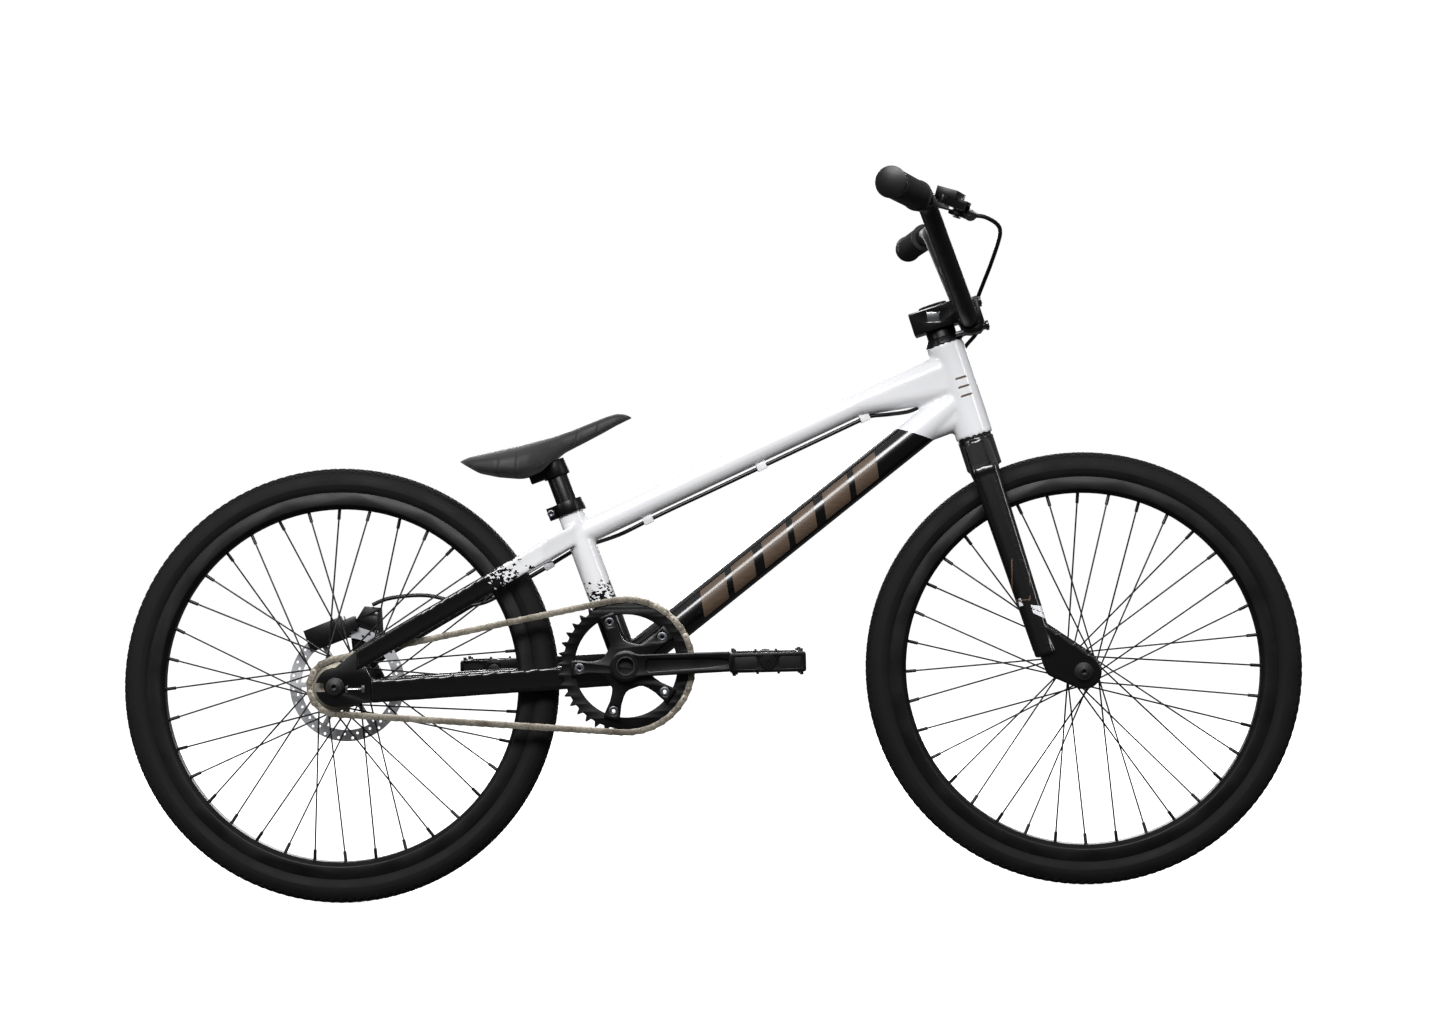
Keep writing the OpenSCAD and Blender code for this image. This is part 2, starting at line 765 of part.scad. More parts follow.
module stem_bolts() {
    color("dimgray") steered() {
        for (s = [-1, 1]) for (v = [-12.5, 17.5]) translate([0, s * 18, bar_v + v - 2.5 + 1]) rotate([0, 90, 0]) {
            translate([0, 0, 16]) cylinder(h = bar_u + 17.5 - 16, r = 3);
            difference() {
                translate([0, 0, bar_u + 17.5]) cylinder(h = 4, r = 4.8);
                translate([0, 0, bar_u + 19.5]) cylinder(h = 4, r = 2.4, $fn = 6);
            }
        }
        translate([-23, 0, 0]) for (v = [stem_low + 8, stem_low + 20]) translate([0, 0, v]) {
            drum(-17, 17, 3);
            difference() {
                drum(-20.5, -17, 4.8);
                drum(-24, -18.5, 2.4);
            }
        }
    }
}

bar_half = bar_w / 2;
bar_top = bar_v + bar_rise;
bend_u = 28;
bend_y = 174;
bend_v = bar_top - 8.5;
bar_points = [
    [-4, -bar_half, bar_top], [bend_u, -bend_y, bend_v], [bar_u, -52, bar_v],
    [bar_u, 52, bar_v], [bend_u, bend_y, bend_v], [-4, bar_half, bar_top],
];
bar_bend = 42;
cross_at = 0.56;
cross_r = 8;
cross_half = mix(52, bend_y, cross_at);
cross_v = mix(bar_v, bend_v, cross_at);
cross_u = mix(bar_u, bend_u, cross_at);

module handlebar() {
    color("black") steered() {
        swept(rounded_path(bar_points, bar_bend, 6), bar_r, 24, [1, 0, 0], bar_r - bar_wall);
        difference() {
            translate([cross_u, 0, cross_v]) ring(-cross_half, cross_half, cross_r, cross_r - 1.4);
            rod(bar_points[1], bar_points[2], bar_r + slip);
            rod(bar_points[3], bar_points[4], bar_r + slip);
        }
    }
}

grip_dir = (bar_points[1] - bar_points[0]) / norm(bar_points[1] - bar_points[0]);

module grip(s) {
    start = bar_points[0];
    color("black") steered() difference() {
        union() {
            rod(flip(start + grip_dir * 1, s), flip(start + grip_dir * grip_len, s), grip_r);
            rod(flip(start + grip_dir * (grip_len - 5), s), flip(start + grip_dir * grip_len, s), grip_r + 2);
        }
        rod(flip(start - grip_dir, s), flip(start + grip_dir * (grip_len + 1), s), bar_r + slip);
    }
}

module grip_right() { grip(1); }
module grip_left() { grip(-1); }

module bar_end_plugs() {
    color("black") steered() for (s = [-1, 1]) {
        start = bar_points[0];
        rod(flip(start - grip_dir * 3, s), flip(start - grip_dir * 0.05, s), grip_r + 2);
        rod(flip(start - grip_dir * 0.05, s), flip(start + grip_dir * 18, s), bar_r - bar_wall - 0.2);
    }
}

// Brake lever: the clamp and master cylinder stay on the bar, the blade turns on a pin.
// The lever is built with the bar along Y and X pointing from the bar to the pin.
lever_at = bar_points[0] + grip_dir * (grip_len + 11);
lever_tilt = 34.5;
lever_out = 46;
lever_pin_y = 8;
pivot_r = 2.5;
lever_up = let (w = cross([cos(lever_tilt), 0, -sin(lever_tilt)], grip_dir)) w / norm(w);
lever_fwd = cross(grip_dir, lever_up);
cylinder_end = 82;

module at_lever() {
    multmatrix([
        [lever_fwd.x, grip_dir.x, lever_up.x, lever_at.x],
        [lever_fwd.y, grip_dir.y, lever_up.y, lever_at.y],
        [lever_fwd.z, grip_dir.z, lever_up.z, lever_at.z],
        [0, 0, 0, 1]]) children();
}

module lever_clamp() {
    color("black") steered() at_lever() difference() {
        union() {
            drum(-7, 7, bar_r + 5);
            translate([10, -7, -6]) cube([lever_out - 14, 14, 12]);
            translate([lever_out - 9, -1, -9]) cube([18, 22, 18]);
            translate([19.5, -14, 5]) cube([24, 46, 12]);
            translate([lever_out, 0, 0]) {
                drum(20, cylinder_end - 8, 8);
                drum(cylinder_end - 8, cylinder_end, 4.5);
            }
        }
        drum(-30, 30, bar_r + slip);
        translate([lever_out - 11, -16, -4.2]) cube([30, 32, 8.4]);
        translate([lever_out, lever_pin_y, -20]) cylinder(h = 40, r = pivot_r + slip);
    }
}

module lever_pivot() {
    color("silver") steered() at_lever() translate([lever_out, lever_pin_y, -10]) {
        cylinder(h = 20, r = pivot_r);
        translate([0, 0, -1.5]) cylinder(h = 1.5, r = 4.5);
    }
}

module brake_lever() {
    color("black") steered() at_lever() translate([lever_out, lever_pin_y, 0]) difference() {
        union() {
            translate([0, 0, -4]) cylinder(h = 8, r = 6.5);
            hull() {
                translate([2, -4, -3.5]) cylinder(h = 7, r = 4, $fn = 32);
                translate([9, -34, -3.5]) cylinder(h = 7, r = 4.5, $fn = 32);
            }
            hull() {
                translate([9, -34, -3.5]) cylinder(h = 7, r = 4.5, $fn = 32);
                translate([1, -96, -4.5]) cylinder(h = 9, r = 5, $fn = 32);
            }
        }
        translate([0, 0, -20]) cylinder(h = 40, r = pivot_r + run);
    }
}

// The front of the hose, in the steering frame
hose_start = lever_at + lever_fwd * lever_out + grip_dir * (cylinder_end + 0.3);
front_hose_route = [
    hose_start, hose_start + grip_dir * 8, [88, -112, 543], [99, -95, 534], [102, -80, 526], [97, -58, 516],
    [80.3, -15, 495.2], [66.5, 12, 479.5], [56.1, 30, 466.7], [50.5, 38, 451], [50, 41, 437], [40, 42, 426],
    [24, 42, 416], [8, 40, 402], [-15, 34.6, 387.5],
];

module brake_hose_front() {
    color("black") steered() hose(front_hose_route, 4);
}

// ---------------------------------------------------------------- wheels, round an axle along Y at the origin
rim_out = wheel_r - 29;
rim_in = rim_out - rim_depth;
rim_half = 13.3;
tyre_mid = wheel_r - tyre_w / 2;
bead_r = rim_out - 5.8;

module revolve() {
    rotate([90, 0, 0]) rotate_extrude($fn = 96) children();
}

module tyre_shape() {
    color("black") revolve() {
        difference() {
            translate([tyre_mid, 0]) circle(r = tyre_w / 2);
            translate([tyre_mid, 0]) circle(r = tyre_w / 2 - 2.5);
            translate([0, -50]) square([rim_out + 0.2, 100]);
        }
        for (s = [-1, 1])
            translate([bead_r, s > 0 ? 8.8 : -11.2]) square([7, 2.4]);
    }
}

module tube_shape() {
    color("dimgray") revolve() difference() {
        translate([tyre_mid + 2.4, 0]) circle(r = tyre_w / 2 - 5.5);
        translate([tyre_mid + 2.4, 0]) circle(r = tyre_w / 2 - 6.5);
    }
}

module rim_shape() {
    color("black") revolve() difference() {
        polygon([
            [rim_in, -7], [rim_in, 7], [rim_in + 5, rim_half], [rim_out, rim_half], [rim_out, rim_half - 1.9],
            [bead_r - 0.1, rim_half - 1.9], [bead_r - 0.1, 6], [bead_r - 4, 4], [bead_r - 4, -4], [bead_r - 0.1, -6],
            [bead_r - 0.1, 1.9 - rim_half], [rim_out, 1.9 - rim_half], [rim_out, -rim_half], [rim_in + 5, -rim_half]]);
        polygon([[rim_in + 1.6, -5.6], [rim_in + 1.6, 5.6], [rim_in + 6, 10.6], [bead_r - 2.2, 10.6],
            [bead_r - 5.6, 4.6], [bead_r - 5.6, -4.6], [bead_r - 2.2, -10.6], [rim_in + 6, -10.6]]);
    }
}

flange_t = 2.6;
flange_edge = 2.6;
spoke_off = flange_t / 2 + spoke_r + 0.9;
elbow_past = 0.6;
nipple_r = 2;
nipple_len = 12;

// Half the spokes of a wheel hang on one flange, and each crosses three others
module spokes_of_side(flange_y, flange_r, first) {
    per_side = spoke_count / 2;
    hole = 360 / per_side;
    for (k = [0 : per_side - 1]) {
        lead = k % 2 == 0 ? 1 : -1;
        rim_a = first + k * hole;
        hub_a = rim_a + lead * 3 * hole;
        side_y = flange_y + (flange_y > 0 ? 1 : -1) * lead * spoke_off;
        hub_end_at = [flange_r * cos(hub_a), side_y, flange_r * sin(hub_a)];
        rim_end_at = [(rim_in - 0.15) * cos(rim_a), flange_y > 0 ? 1.2 : -1.2, (rim_in - 0.15) * sin(rim_a)];
        run_dir = (rim_end_at - hub_end_at) / norm(rim_end_at - hub_end_at);
        rod(hub_end_at - run_dir * 0.7, rim_end_at - run_dir, spoke_r);
        rod(rim_end_at - run_dir * nipple_len, rim_end_at, nipple_r);
        translate([hub_end_at.x, 0, hub_end_at.z])
            drum(flange_y - spoke_off - elbow_past, flange_y + spoke_off + elbow_past, spoke_r);
    }
}

module flange(y, r, hole_r) {
    difference() {
        drum(y - flange_t / 2, y + flange_t / 2, r + flange_edge);
        for (k = [0 : spoke_count - 1])
            if (k % 2 == (y > 0 ? 1 : 0))
                translate([r * cos(k * 360 / spoke_count), 0, r * sin(k * 360 / spoke_count)])
                    drum(y - 5, y + 5, hole_r);
    }
}

module spokes(flange_left, flange_right, flange_r) {
    color("black") {
        spokes_of_side(flange_left, flange_r, 360 / spoke_count);
        spokes_of_side(-flange_right, flange_r, 0);
    }
}

front_flange_r = 19;
front_flange_y = 32;
rear_flange_r = 26;
rear_flange_left = 23;
rear_flange_right = 26;

module front_hub() {
    color("black") at_front_axle() difference() {
        union() {
            drum(-front_flange_y, front_flange_y, 13);
            flange(front_flange_y, front_flange_r, spoke_r + 0.2);
            flange(-front_flange_y, front_flange_r, spoke_r + 0.2);
            both_sides() drum(front_flange_y, fork_in - 4, 11);
        }
        drum(-60, 60, axle_r + run);
    }
}

module front_tyre() { at_front_axle() tyre_shape(); }
module front_rim() { at_front_axle() rim_shape(); }
module front_tube() { at_front_axle() tube_shape(); }
module front_spokes() { at_front_axle() spokes(front_flange_y, front_flange_y, front_flange_r); }

cog_bore = 15;

module rear_hub() {
    color("black") at_side(rear_axle_at) difference() {
        union() {
            drum(-rear_flange_right, rear_flange_left, 17);
            flange(rear_flange_left, rear_flange_r, spoke_r + 0.2);
            flange(-rear_flange_right, rear_flange_r, spoke_r + 0.2);
            drum(rear_flange_left, rotor_y - rotor_t / 2, 20);
            drum(rotor_y - rotor_t / 2, hub_end, 12);
            drum(-hub_end, -rear_flange_right, cog_bore - run);
        }
        drum(-60, 60, axle_r + run);
        for (a = [0 : 60 : 300])
            translate([16.5 * cos(a), 0, 16.5 * sin(a)]) drum(rotor_y - 8, rotor_y, 2 + slip);
    }
}

module rear_tyre() { at_side(rear_axle_at) tyre_shape(); }
module rear_rim() { at_side(rear_axle_at) rim_shape(); }
module rear_tube() { at_side(rear_axle_at) tube_shape(); }
module rear_spokes() { at_side(rear_axle_at) spokes(rear_flange_left, rear_flange_right, rear_flange_r); }

module brake_rotor() {
    color("silver") at_side(rear_axle_at, rotor_y) {
        difference() {
            union() {
                ring(-rotor_t / 2, rotor_t / 2, rotor_r, rotor_r - 14);
                ring(-rotor_t / 2, rotor_t / 2, 21, 12 + slip);
                for (a = [0 : 60 : 300])
                    rotate([0, a, 0]) translate([18, -rotor_t / 2, -3]) cube([rotor_r - 31, rotor_t, 6]);
            }
            for (a = [0 : 60 : 300])
                translate([16.5 * cos(a), 0, 16.5 * sin(a)]) drum(-5, 5, 2 + slip);
            for (a = [0 : 15 : 345])
                rotate([0, a, 0]) for (r = [rotor_r - 4, rotor_r - 9])
                    rotate([0, (r - rotor_r) * 1.2, 0]) translate([r, 0, 0]) drum(-5, 5, 1.6);
        }
    }
}

module rotor_bolts() {
    color("dimgray") at_side(rear_axle_at)
        for (a = [0 : 60 : 300])
            translate([16.5 * cos(a), 0, 16.5 * sin(a)]) {
                drum(rotor_y - 7, rotor_y + rotor_t / 2, 2);
                drum(rotor_y + rotor_t / 2, rotor_y + rotor_t / 2 + 2, 3.4);
            }
}

// ---------------------------------------------------------------- drive
// A toothed disc: a tooth stands between each pair of chain rollers
module toothed(teeth, radius, phase) {
    root = radius - roller_r - 0.15;
    tip = radius + 2.2;
    pitch_a = 360 / teeth;
    polygon([for (k = [0 : teeth - 1]) let (a = phase + k * pitch_a) each [
        around([0, 0], root, a),
        around([0, 0], root + 0.4, a + pitch_a * 0.22),
        around([0, 0], radius - 0.6, a + pitch_a * 0.34),
        around([0, 0], tip, a + pitch_a * 0.45),
        around([0, 0], tip, a + pitch_a * 0.55),
        around([0, 0], radius - 0.6, a + pitch_a * 0.66),
        around([0, 0], root + 0.4, a + pitch_a * 0.78)]]);
}

module toothed_plate(teeth, radius, phase, thick) {
    translate([0, thick / 2, 0]) rotate([90, 0, 0]) linear_extrude(thick) toothed(teeth, radius, phase);
}

module rear_cog() {
    color("silver") at_side(rear_axle_at, -chain_line) difference() {
        union() {
            toothed_plate(cog_teeth, cog_r, cog_phase, tooth_w);
            drum(-4, 5, 24);
        }
        drum(-20, 20, cog_bore + run);
    }
}

spider_r = 55;
arm_h = 13.5;
bolt_r = 4;
module at_crank() {
    at_side(bb_at) rotate([0, -crank_angle, 0]) children();
}

module on_spider(y = 0) {
    for (k = [0 : 4])
        rotate([0, -(36 + 72 * k), 0]) translate([spider_r, y, 0]) children();
}

module chainring() {
    color("black") difference() {
        at_side(bb_at, -chain_line) difference() {
            toothed_plate(ring_teeth, ring_r, ring_phase, tooth_w);
            drum(-9, 9, ring_r - 13);
        }
    }
    color("black") at_crank() on_spider(-chain_line) difference() {
        hull() {
            translate([2, tooth_w / 2, 0]) rotate([90, 0, 0]) cylinder(h = tooth_w, r = 8, $fn = 32);
            translate([ring_r - spider_r - 17.5, tooth_w / 2, 0]) rotate([90, 0, 0])
                cylinder(h = tooth_w, r = 11, $fn = 32);
        }
        drum(-5, 5, bolt_r + slip);
    }
}

module arm_bar(s) {
    intersection() {
        translate([0, 0, -50]) linear_extrude(100) polygon([
            [0, s * 50], [crank_len, s * 59], [crank_len, s * 71], [0, s * 62.5]]);
        translate([0, 100, 0]) rotate([90, 0, 0]) linear_extrude(200) polygon([
            [0, -arm_h], [crank_len, -arm_h + 1.5], [crank_len, arm_h - 1.5], [0, arm_h]]);
    }
}

module crank_arm_right() {
    y_in = -chain_line - tooth_w / 2;
    color("black") at_crank() difference() {
        union() {
            drum(-63, -cup_out - 0.6, 19);
            translate([crank_len, 0, 0]) drum(-72, -58, 13.5);
            arm_bar(-1);
            on_spider(0) rod([-spider_r + 8, -54, 0], [3, y_in - 4.5, 0], 8, 4.4);
            on_spider(0) drum(y_in - 5, y_in, 7.5);
        }
        drum(-80, 0, spindle_r + slip);
        translate([crank_len, 0, 0]) drum(-90, -40, 7.1 + slip);
        on_spider(0) drum(-70, y_in + 1, bolt_r + slip);
        on_spider(0) drum(-70, y_in - 5, 6.2);
        drum(y_in, 0, 80);
    }
}

module crank_arm_left() {
    color("black") at_crank() difference() {
        union() {
            drum(cup_out + 0.6, 63, 19);
            translate([-crank_len, 0, 0]) drum(58, 72, 13.5);
            rotate([0, 0, 180]) arm_bar(-1);
        }
        drum(0, 80, spindle_r + slip);
        translate([-crank_len, 0, 0]) drum(40, 90, 7.1 + slip);
    }
}

module crank_spindle() {
    color("dimgray") at_side(bb_at) difference() {
        drum(-62.5, 62.5, spindle_r);
        drum(-80, 80, spindle_r - 2.5);
    }
}

module chainring_bolts() {
    y_in = -chain_line - tooth_w / 2;
    color("dimgray") at_crank() on_spider(0) difference() {
        union() {
            drum(y_in - 5, -chain_line + tooth_w / 2, bolt_r);
            drum(y_in - 6.5, y_in - 5, 6);
            drum(-chain_line + tooth_w / 2, -chain_line + tooth_w / 2 + 1.5, 6);
        }
        drum(-80, -30, 2.2);
    }
}

pedal_w = 92;
pedal_l = 86;
pedal_t = 22;
pedal_in = 76;

module at_pedals(s) {
    at_crank() translate([s * crank_len, 0, 0]) children();
}

module pedal_spindles() {
    color("dimgray") {
        at_pedals(1) {
            drum(-73, -58, 7.1);
            drum(-75, -73, 9);
            drum(-pedal_in - pedal_w + 6, -75, 5);
        }
        at_pedals(-1) {
            drum(58, 73, 7.1);
            drum(73, 75, 9);
            drum(75, pedal_in + pedal_w - 6, 5);
        }
    }
}

module pedal_body(s) {
    rotate([0, crank_angle, 0]) difference() {
        union() {
            drum(pedal_in, pedal_in + pedal_w, 9.5);
            for (x = [-pedal_l / 2, pedal_l / 2 - 9])
                translate([x, pedal_in + 6, -pedal_t / 2]) cube([9, pedal_w - 12, pedal_t]);
            for (y = [pedal_in, pedal_in + pedal_w - 7])
                translate([-pedal_l / 2 + 4, y, -pedal_t / 2]) cube([pedal_l - 8, 7, pedal_t]);
            for (x = [-1, 1]) for (y = [pedal_in + 14, pedal_in + pedal_w - 14])
                translate([x * (pedal_l / 2 - 4.5), y, -pedal_t / 2 - 4]) cylinder(h = pedal_t + 8, r = 2);
        }
        drum(pedal_in - 5, pedal_in + pedal_w - 4, 5 + run);
    }
}

module pedal_right() { color("black") at_pedals(1) mirror([0, 1, 0]) pedal_body(); }
module pedal_left() { color("black") at_pedals(-1) pedal_body(); }

head_tube();
top_tube();
down_tube();
seat_tube();
bb_shell();
chainstays();
seatstays();
dropouts();
hose_guides();
seat_clamp();
seat_clamp_bolt();
headset_bearings();
bb_cups();
rear_axle();
chain_tensioners();
chain();
brake_hose_rear();
brake_caliper();
caliper_bolts();
seatpost();
saddle_base();
saddle_pad();
fork_steerer();
fork_legs();
front_axle();
headset_cover();
stem_body();
stem_cap();
stem_bolts();
handlebar();
grip_right();
grip_left();
bar_end_plugs();
lever_clamp();
lever_pivot();
brake_hose_front();
brake_lever();
front_tyre();
front_rim();
front_spokes();
front_hub();
front_tube();
rear_tyre();
rear_rim();
rear_spokes();
rear_hub();
rear_tube();
brake_rotor();
rotor_bolts();
rear_cog();
crank_arm_right();
crank_arm_left();
crank_spindle();
chainring();
chainring_bolts();
pedal_spindles();
pedal_right();
pedal_left();
brake_pad_inner();
brake_pad_outer();
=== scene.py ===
# %% [markdown]
# # A BMX bike in gloss white and black
# This lesson dresses a bike whose frame, wheels, crank and steering were drawn first as exact solids.
# Every finish is made from nodes and every soft or rounded shape is made here, so that the bike looks
# like painted tube, cast alloy, rubber and moulded plastic. The solids themselves never move.

# %% Open the solid model
import math

import bmesh
import bpy
import numpy as np
from mathutils import Matrix, Vector


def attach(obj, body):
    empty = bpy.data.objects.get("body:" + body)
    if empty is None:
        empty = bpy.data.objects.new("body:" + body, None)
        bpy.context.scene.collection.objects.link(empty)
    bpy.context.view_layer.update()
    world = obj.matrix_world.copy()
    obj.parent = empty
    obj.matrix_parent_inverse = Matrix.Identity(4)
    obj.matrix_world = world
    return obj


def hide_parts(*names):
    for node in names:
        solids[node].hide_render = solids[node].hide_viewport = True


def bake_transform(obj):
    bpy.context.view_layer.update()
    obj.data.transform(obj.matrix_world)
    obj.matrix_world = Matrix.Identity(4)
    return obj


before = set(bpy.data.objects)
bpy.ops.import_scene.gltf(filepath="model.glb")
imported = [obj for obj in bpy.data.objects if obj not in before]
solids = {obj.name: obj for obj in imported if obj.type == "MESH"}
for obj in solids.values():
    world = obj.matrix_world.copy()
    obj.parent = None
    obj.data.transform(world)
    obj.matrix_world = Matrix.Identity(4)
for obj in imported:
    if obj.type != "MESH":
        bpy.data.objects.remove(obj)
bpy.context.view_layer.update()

# %% [markdown]
# The bike is drawn in millimetres and Blender works in metres. Three lines set the frame out: the seat
# tube, the steering axis and the crank centre. The steering stands turned seven degrees, so a point that
# belongs to the fork or the bar is given in its own straight frame and turned into place.

# %% Where the main lines of the bike are
BB = np.array([-102.983, 0.0, 277.2])
REAR_AXLE = np.array([-445.5, 0.0, 260.5])
SEAT_LINE = np.array([-0.3272, 0.0, 0.9449])
STEER_UP = np.array([-0.28402, 0.0, 0.95882])
STEER_FORWARD = np.array([0.95882, 0.0, 0.28402])
STEER_FOOT = np.array([410.503, 0.0, 250.133])
BAR_TURN = math.radians(-7)
FORK_RAKE = 36.5


def steered(point):
    """A point of the straight steering frame, forward, left and up, in the bike's frame in millimetres."""
    u, y, v = point
    forward = u * math.cos(BAR_TURN) - y * math.sin(BAR_TURN)
    left = u * math.sin(BAR_TURN) + y * math.cos(BAR_TURN)
    return STEER_FOOT + STEER_FORWARD * forward + np.array([0, left, 0]) + STEER_UP * v


def unsteered(points):
    """The straight steering frame's own coordinates of many points in millimetres."""
    d = points - STEER_FOOT
    forward, left = d @ STEER_FORWARD, d[:, 1]
    c, s = math.cos(BAR_TURN), math.sin(BAR_TURN)
    return np.stack([forward * c + left * s, -forward * s + left * c, d @ STEER_UP], 1)


FRONT_AXLE = steered((FORK_RAKE, 0, 0))
print("front axle", FRONT_AXLE.round(1))

# %% [markdown]
# ## The camera
# A long lens, three metres off on the drive side and only a little above the hubs, keeps both wheels
# nearly round. The camera leans a touch, as a hand-held one does.

# %% Set up the camera
FOCAL_MM, SENSOR_MM = 59.991696, 36
CAMERA_AT = (-0.023, -2.908, 0.365)
yaw, pitch, roll = (math.radians(a) for a in (0.77, 1.74, -1.29))
look = Vector((math.sin(yaw) * math.cos(pitch), math.cos(yaw) * math.cos(pitch), math.sin(pitch)))
side = Vector((math.cos(yaw), -math.sin(yaw), 0))
above = side.cross(look)
right = math.cos(roll) * side + math.sin(roll) * above
top = -math.sin(roll) * side + math.cos(roll) * above
lens = bpy.data.cameras.new("side_camera")
lens.lens, lens.sensor_width, lens.sensor_fit = FOCAL_MM, SENSOR_MM, "HORIZONTAL"


def linked(name, data):
    """A new object with this data, put in the scene."""
    made = bpy.data.objects.new(name, data)
    bpy.context.scene.collection.objects.link(made)
    return made


camera = linked("side_camera", lens)
camera.matrix_world = Matrix.Translation(CAMERA_AT) @ Matrix((right, top, -look)).transposed().to_4x4()
bpy.context.scene.camera = camera
print("lens", round(lens.lens, 2))

# %% [markdown]
# ## A small tool box
# Small functions turn a colour code into light, add a node, do a step of arithmetic, mix two colours and
# make a finish. Colour codes are written as a screen shows them, and a shader needs amounts of light.


# %% Helpers for finishes
def light(code):
    """An sRGB hex colour as linear red, green, blue and alpha."""
    c = [int(code[i : i + 2], 16) / 255 for i in (1, 3, 5)]
    return [x / 12.92 if x <= 0.04045 else ((x + 0.055) / 1.055) ** 2.4 for x in c] + [1.0]


def add(tree, kind, inputs=None, **settings):
    """Adds a node with its settings, and links or sets its inputs."""
    made = tree.nodes.new(kind)
    for key, value in settings.items():
        setattr(made, key, value)
    for key, value in (inputs or {}).items():
        socket = made.inputs[key]
        if isinstance(value, bpy.types.NodeSocket):
            tree.links.new(value, socket)
        else:
            socket.default_value = value
    return made


def calc(tree, operation, a, b):
    """The result of one step of arithmetic on sockets or numbers."""
    return add(tree, "ShaderNodeMath", {0: a, 1: b}, operation=operation).outputs[0]


def mixed(tree, amount, low, high):
    """A colour between two, by an amount."""
    return add(tree, "ShaderNodeMix", {0: amount, 6: low, 7: high}, data_type="RGBA").outputs[2]


def material_of(name):
    """A new material, its node tree and its shader."""
    made = bpy.data.materials.new(name)
    made.use_nodes = True
    return made, made.node_tree, made.node_tree.nodes["Principled BSDF"]


def finish_of(name, dark, pale, rough, grain_mm, bump_mm, metallic=0.0, stretch=(1, 1, 1), **fixed):
    """A finish whose colour, gloss and surface vary with a grain of a real size. rough is (least, most)."""
    made, tree, shader = material_of(name)
    shader.inputs["Metallic"].default_value = metallic
    for key, value in fixed.items():
        shader.inputs[key.replace("_", " ")].default_value = value
    where = add(tree, "ShaderNodeTexCoord").outputs["Object"]
    mapped = add(tree, "ShaderNodeMapping", {"Vector": where, "Scale": stretch})
    fine = {"Vector": mapped.outputs["Vector"], "Scale": 1000 / grain_mm, "Detail": 4.0}
    grain = add(tree, "ShaderNodeTexNoise", fine)
    broad = add(tree, "ShaderNodeTexNoise", {"Vector": where, "Scale": 28.0, "Detail": 2.0})
    both = calc(tree, "MULTIPLY", grain.outputs["Fac"], broad.outputs["Fac"])
    ramp = add(tree, "ShaderNodeMapRange", {"Value": both, "From Min": 0.12, "From Max": 0.42})
    colour = mixed(tree, ramp.outputs[0], light(dark), light(pale))
    span = {"From Min": 0.3, "From Max": 0.7, "To Min": rough[0], "To Max": rough[1]}
    gloss = add(tree, "ShaderNodeMapRange", {"Value": broad.outputs["Fac"], **span})
    relief = {"Height": grain.outputs["Fac"], "Distance": bump_mm / 1000, "Strength": 0.8}
    height = add(tree, "ShaderNodeBump", relief)
    tree.links.new(colour, shader.inputs["Base Color"])
    tree.links.new(gloss.outputs[0], shader.inputs["Roughness"])
    tree.links.new(height.outputs["Normal"], shader.inputs["Normal"])
    return made


# %% [markdown]
# ## The plain finishes
# Black is never one black. Anodised alloy is satin, painted steel is glossy, rubber is dull and a little
# brown, and moulded nylon sits between them. Each one is named for how its surface was made, and the
# comment above it says what that gives the eye.

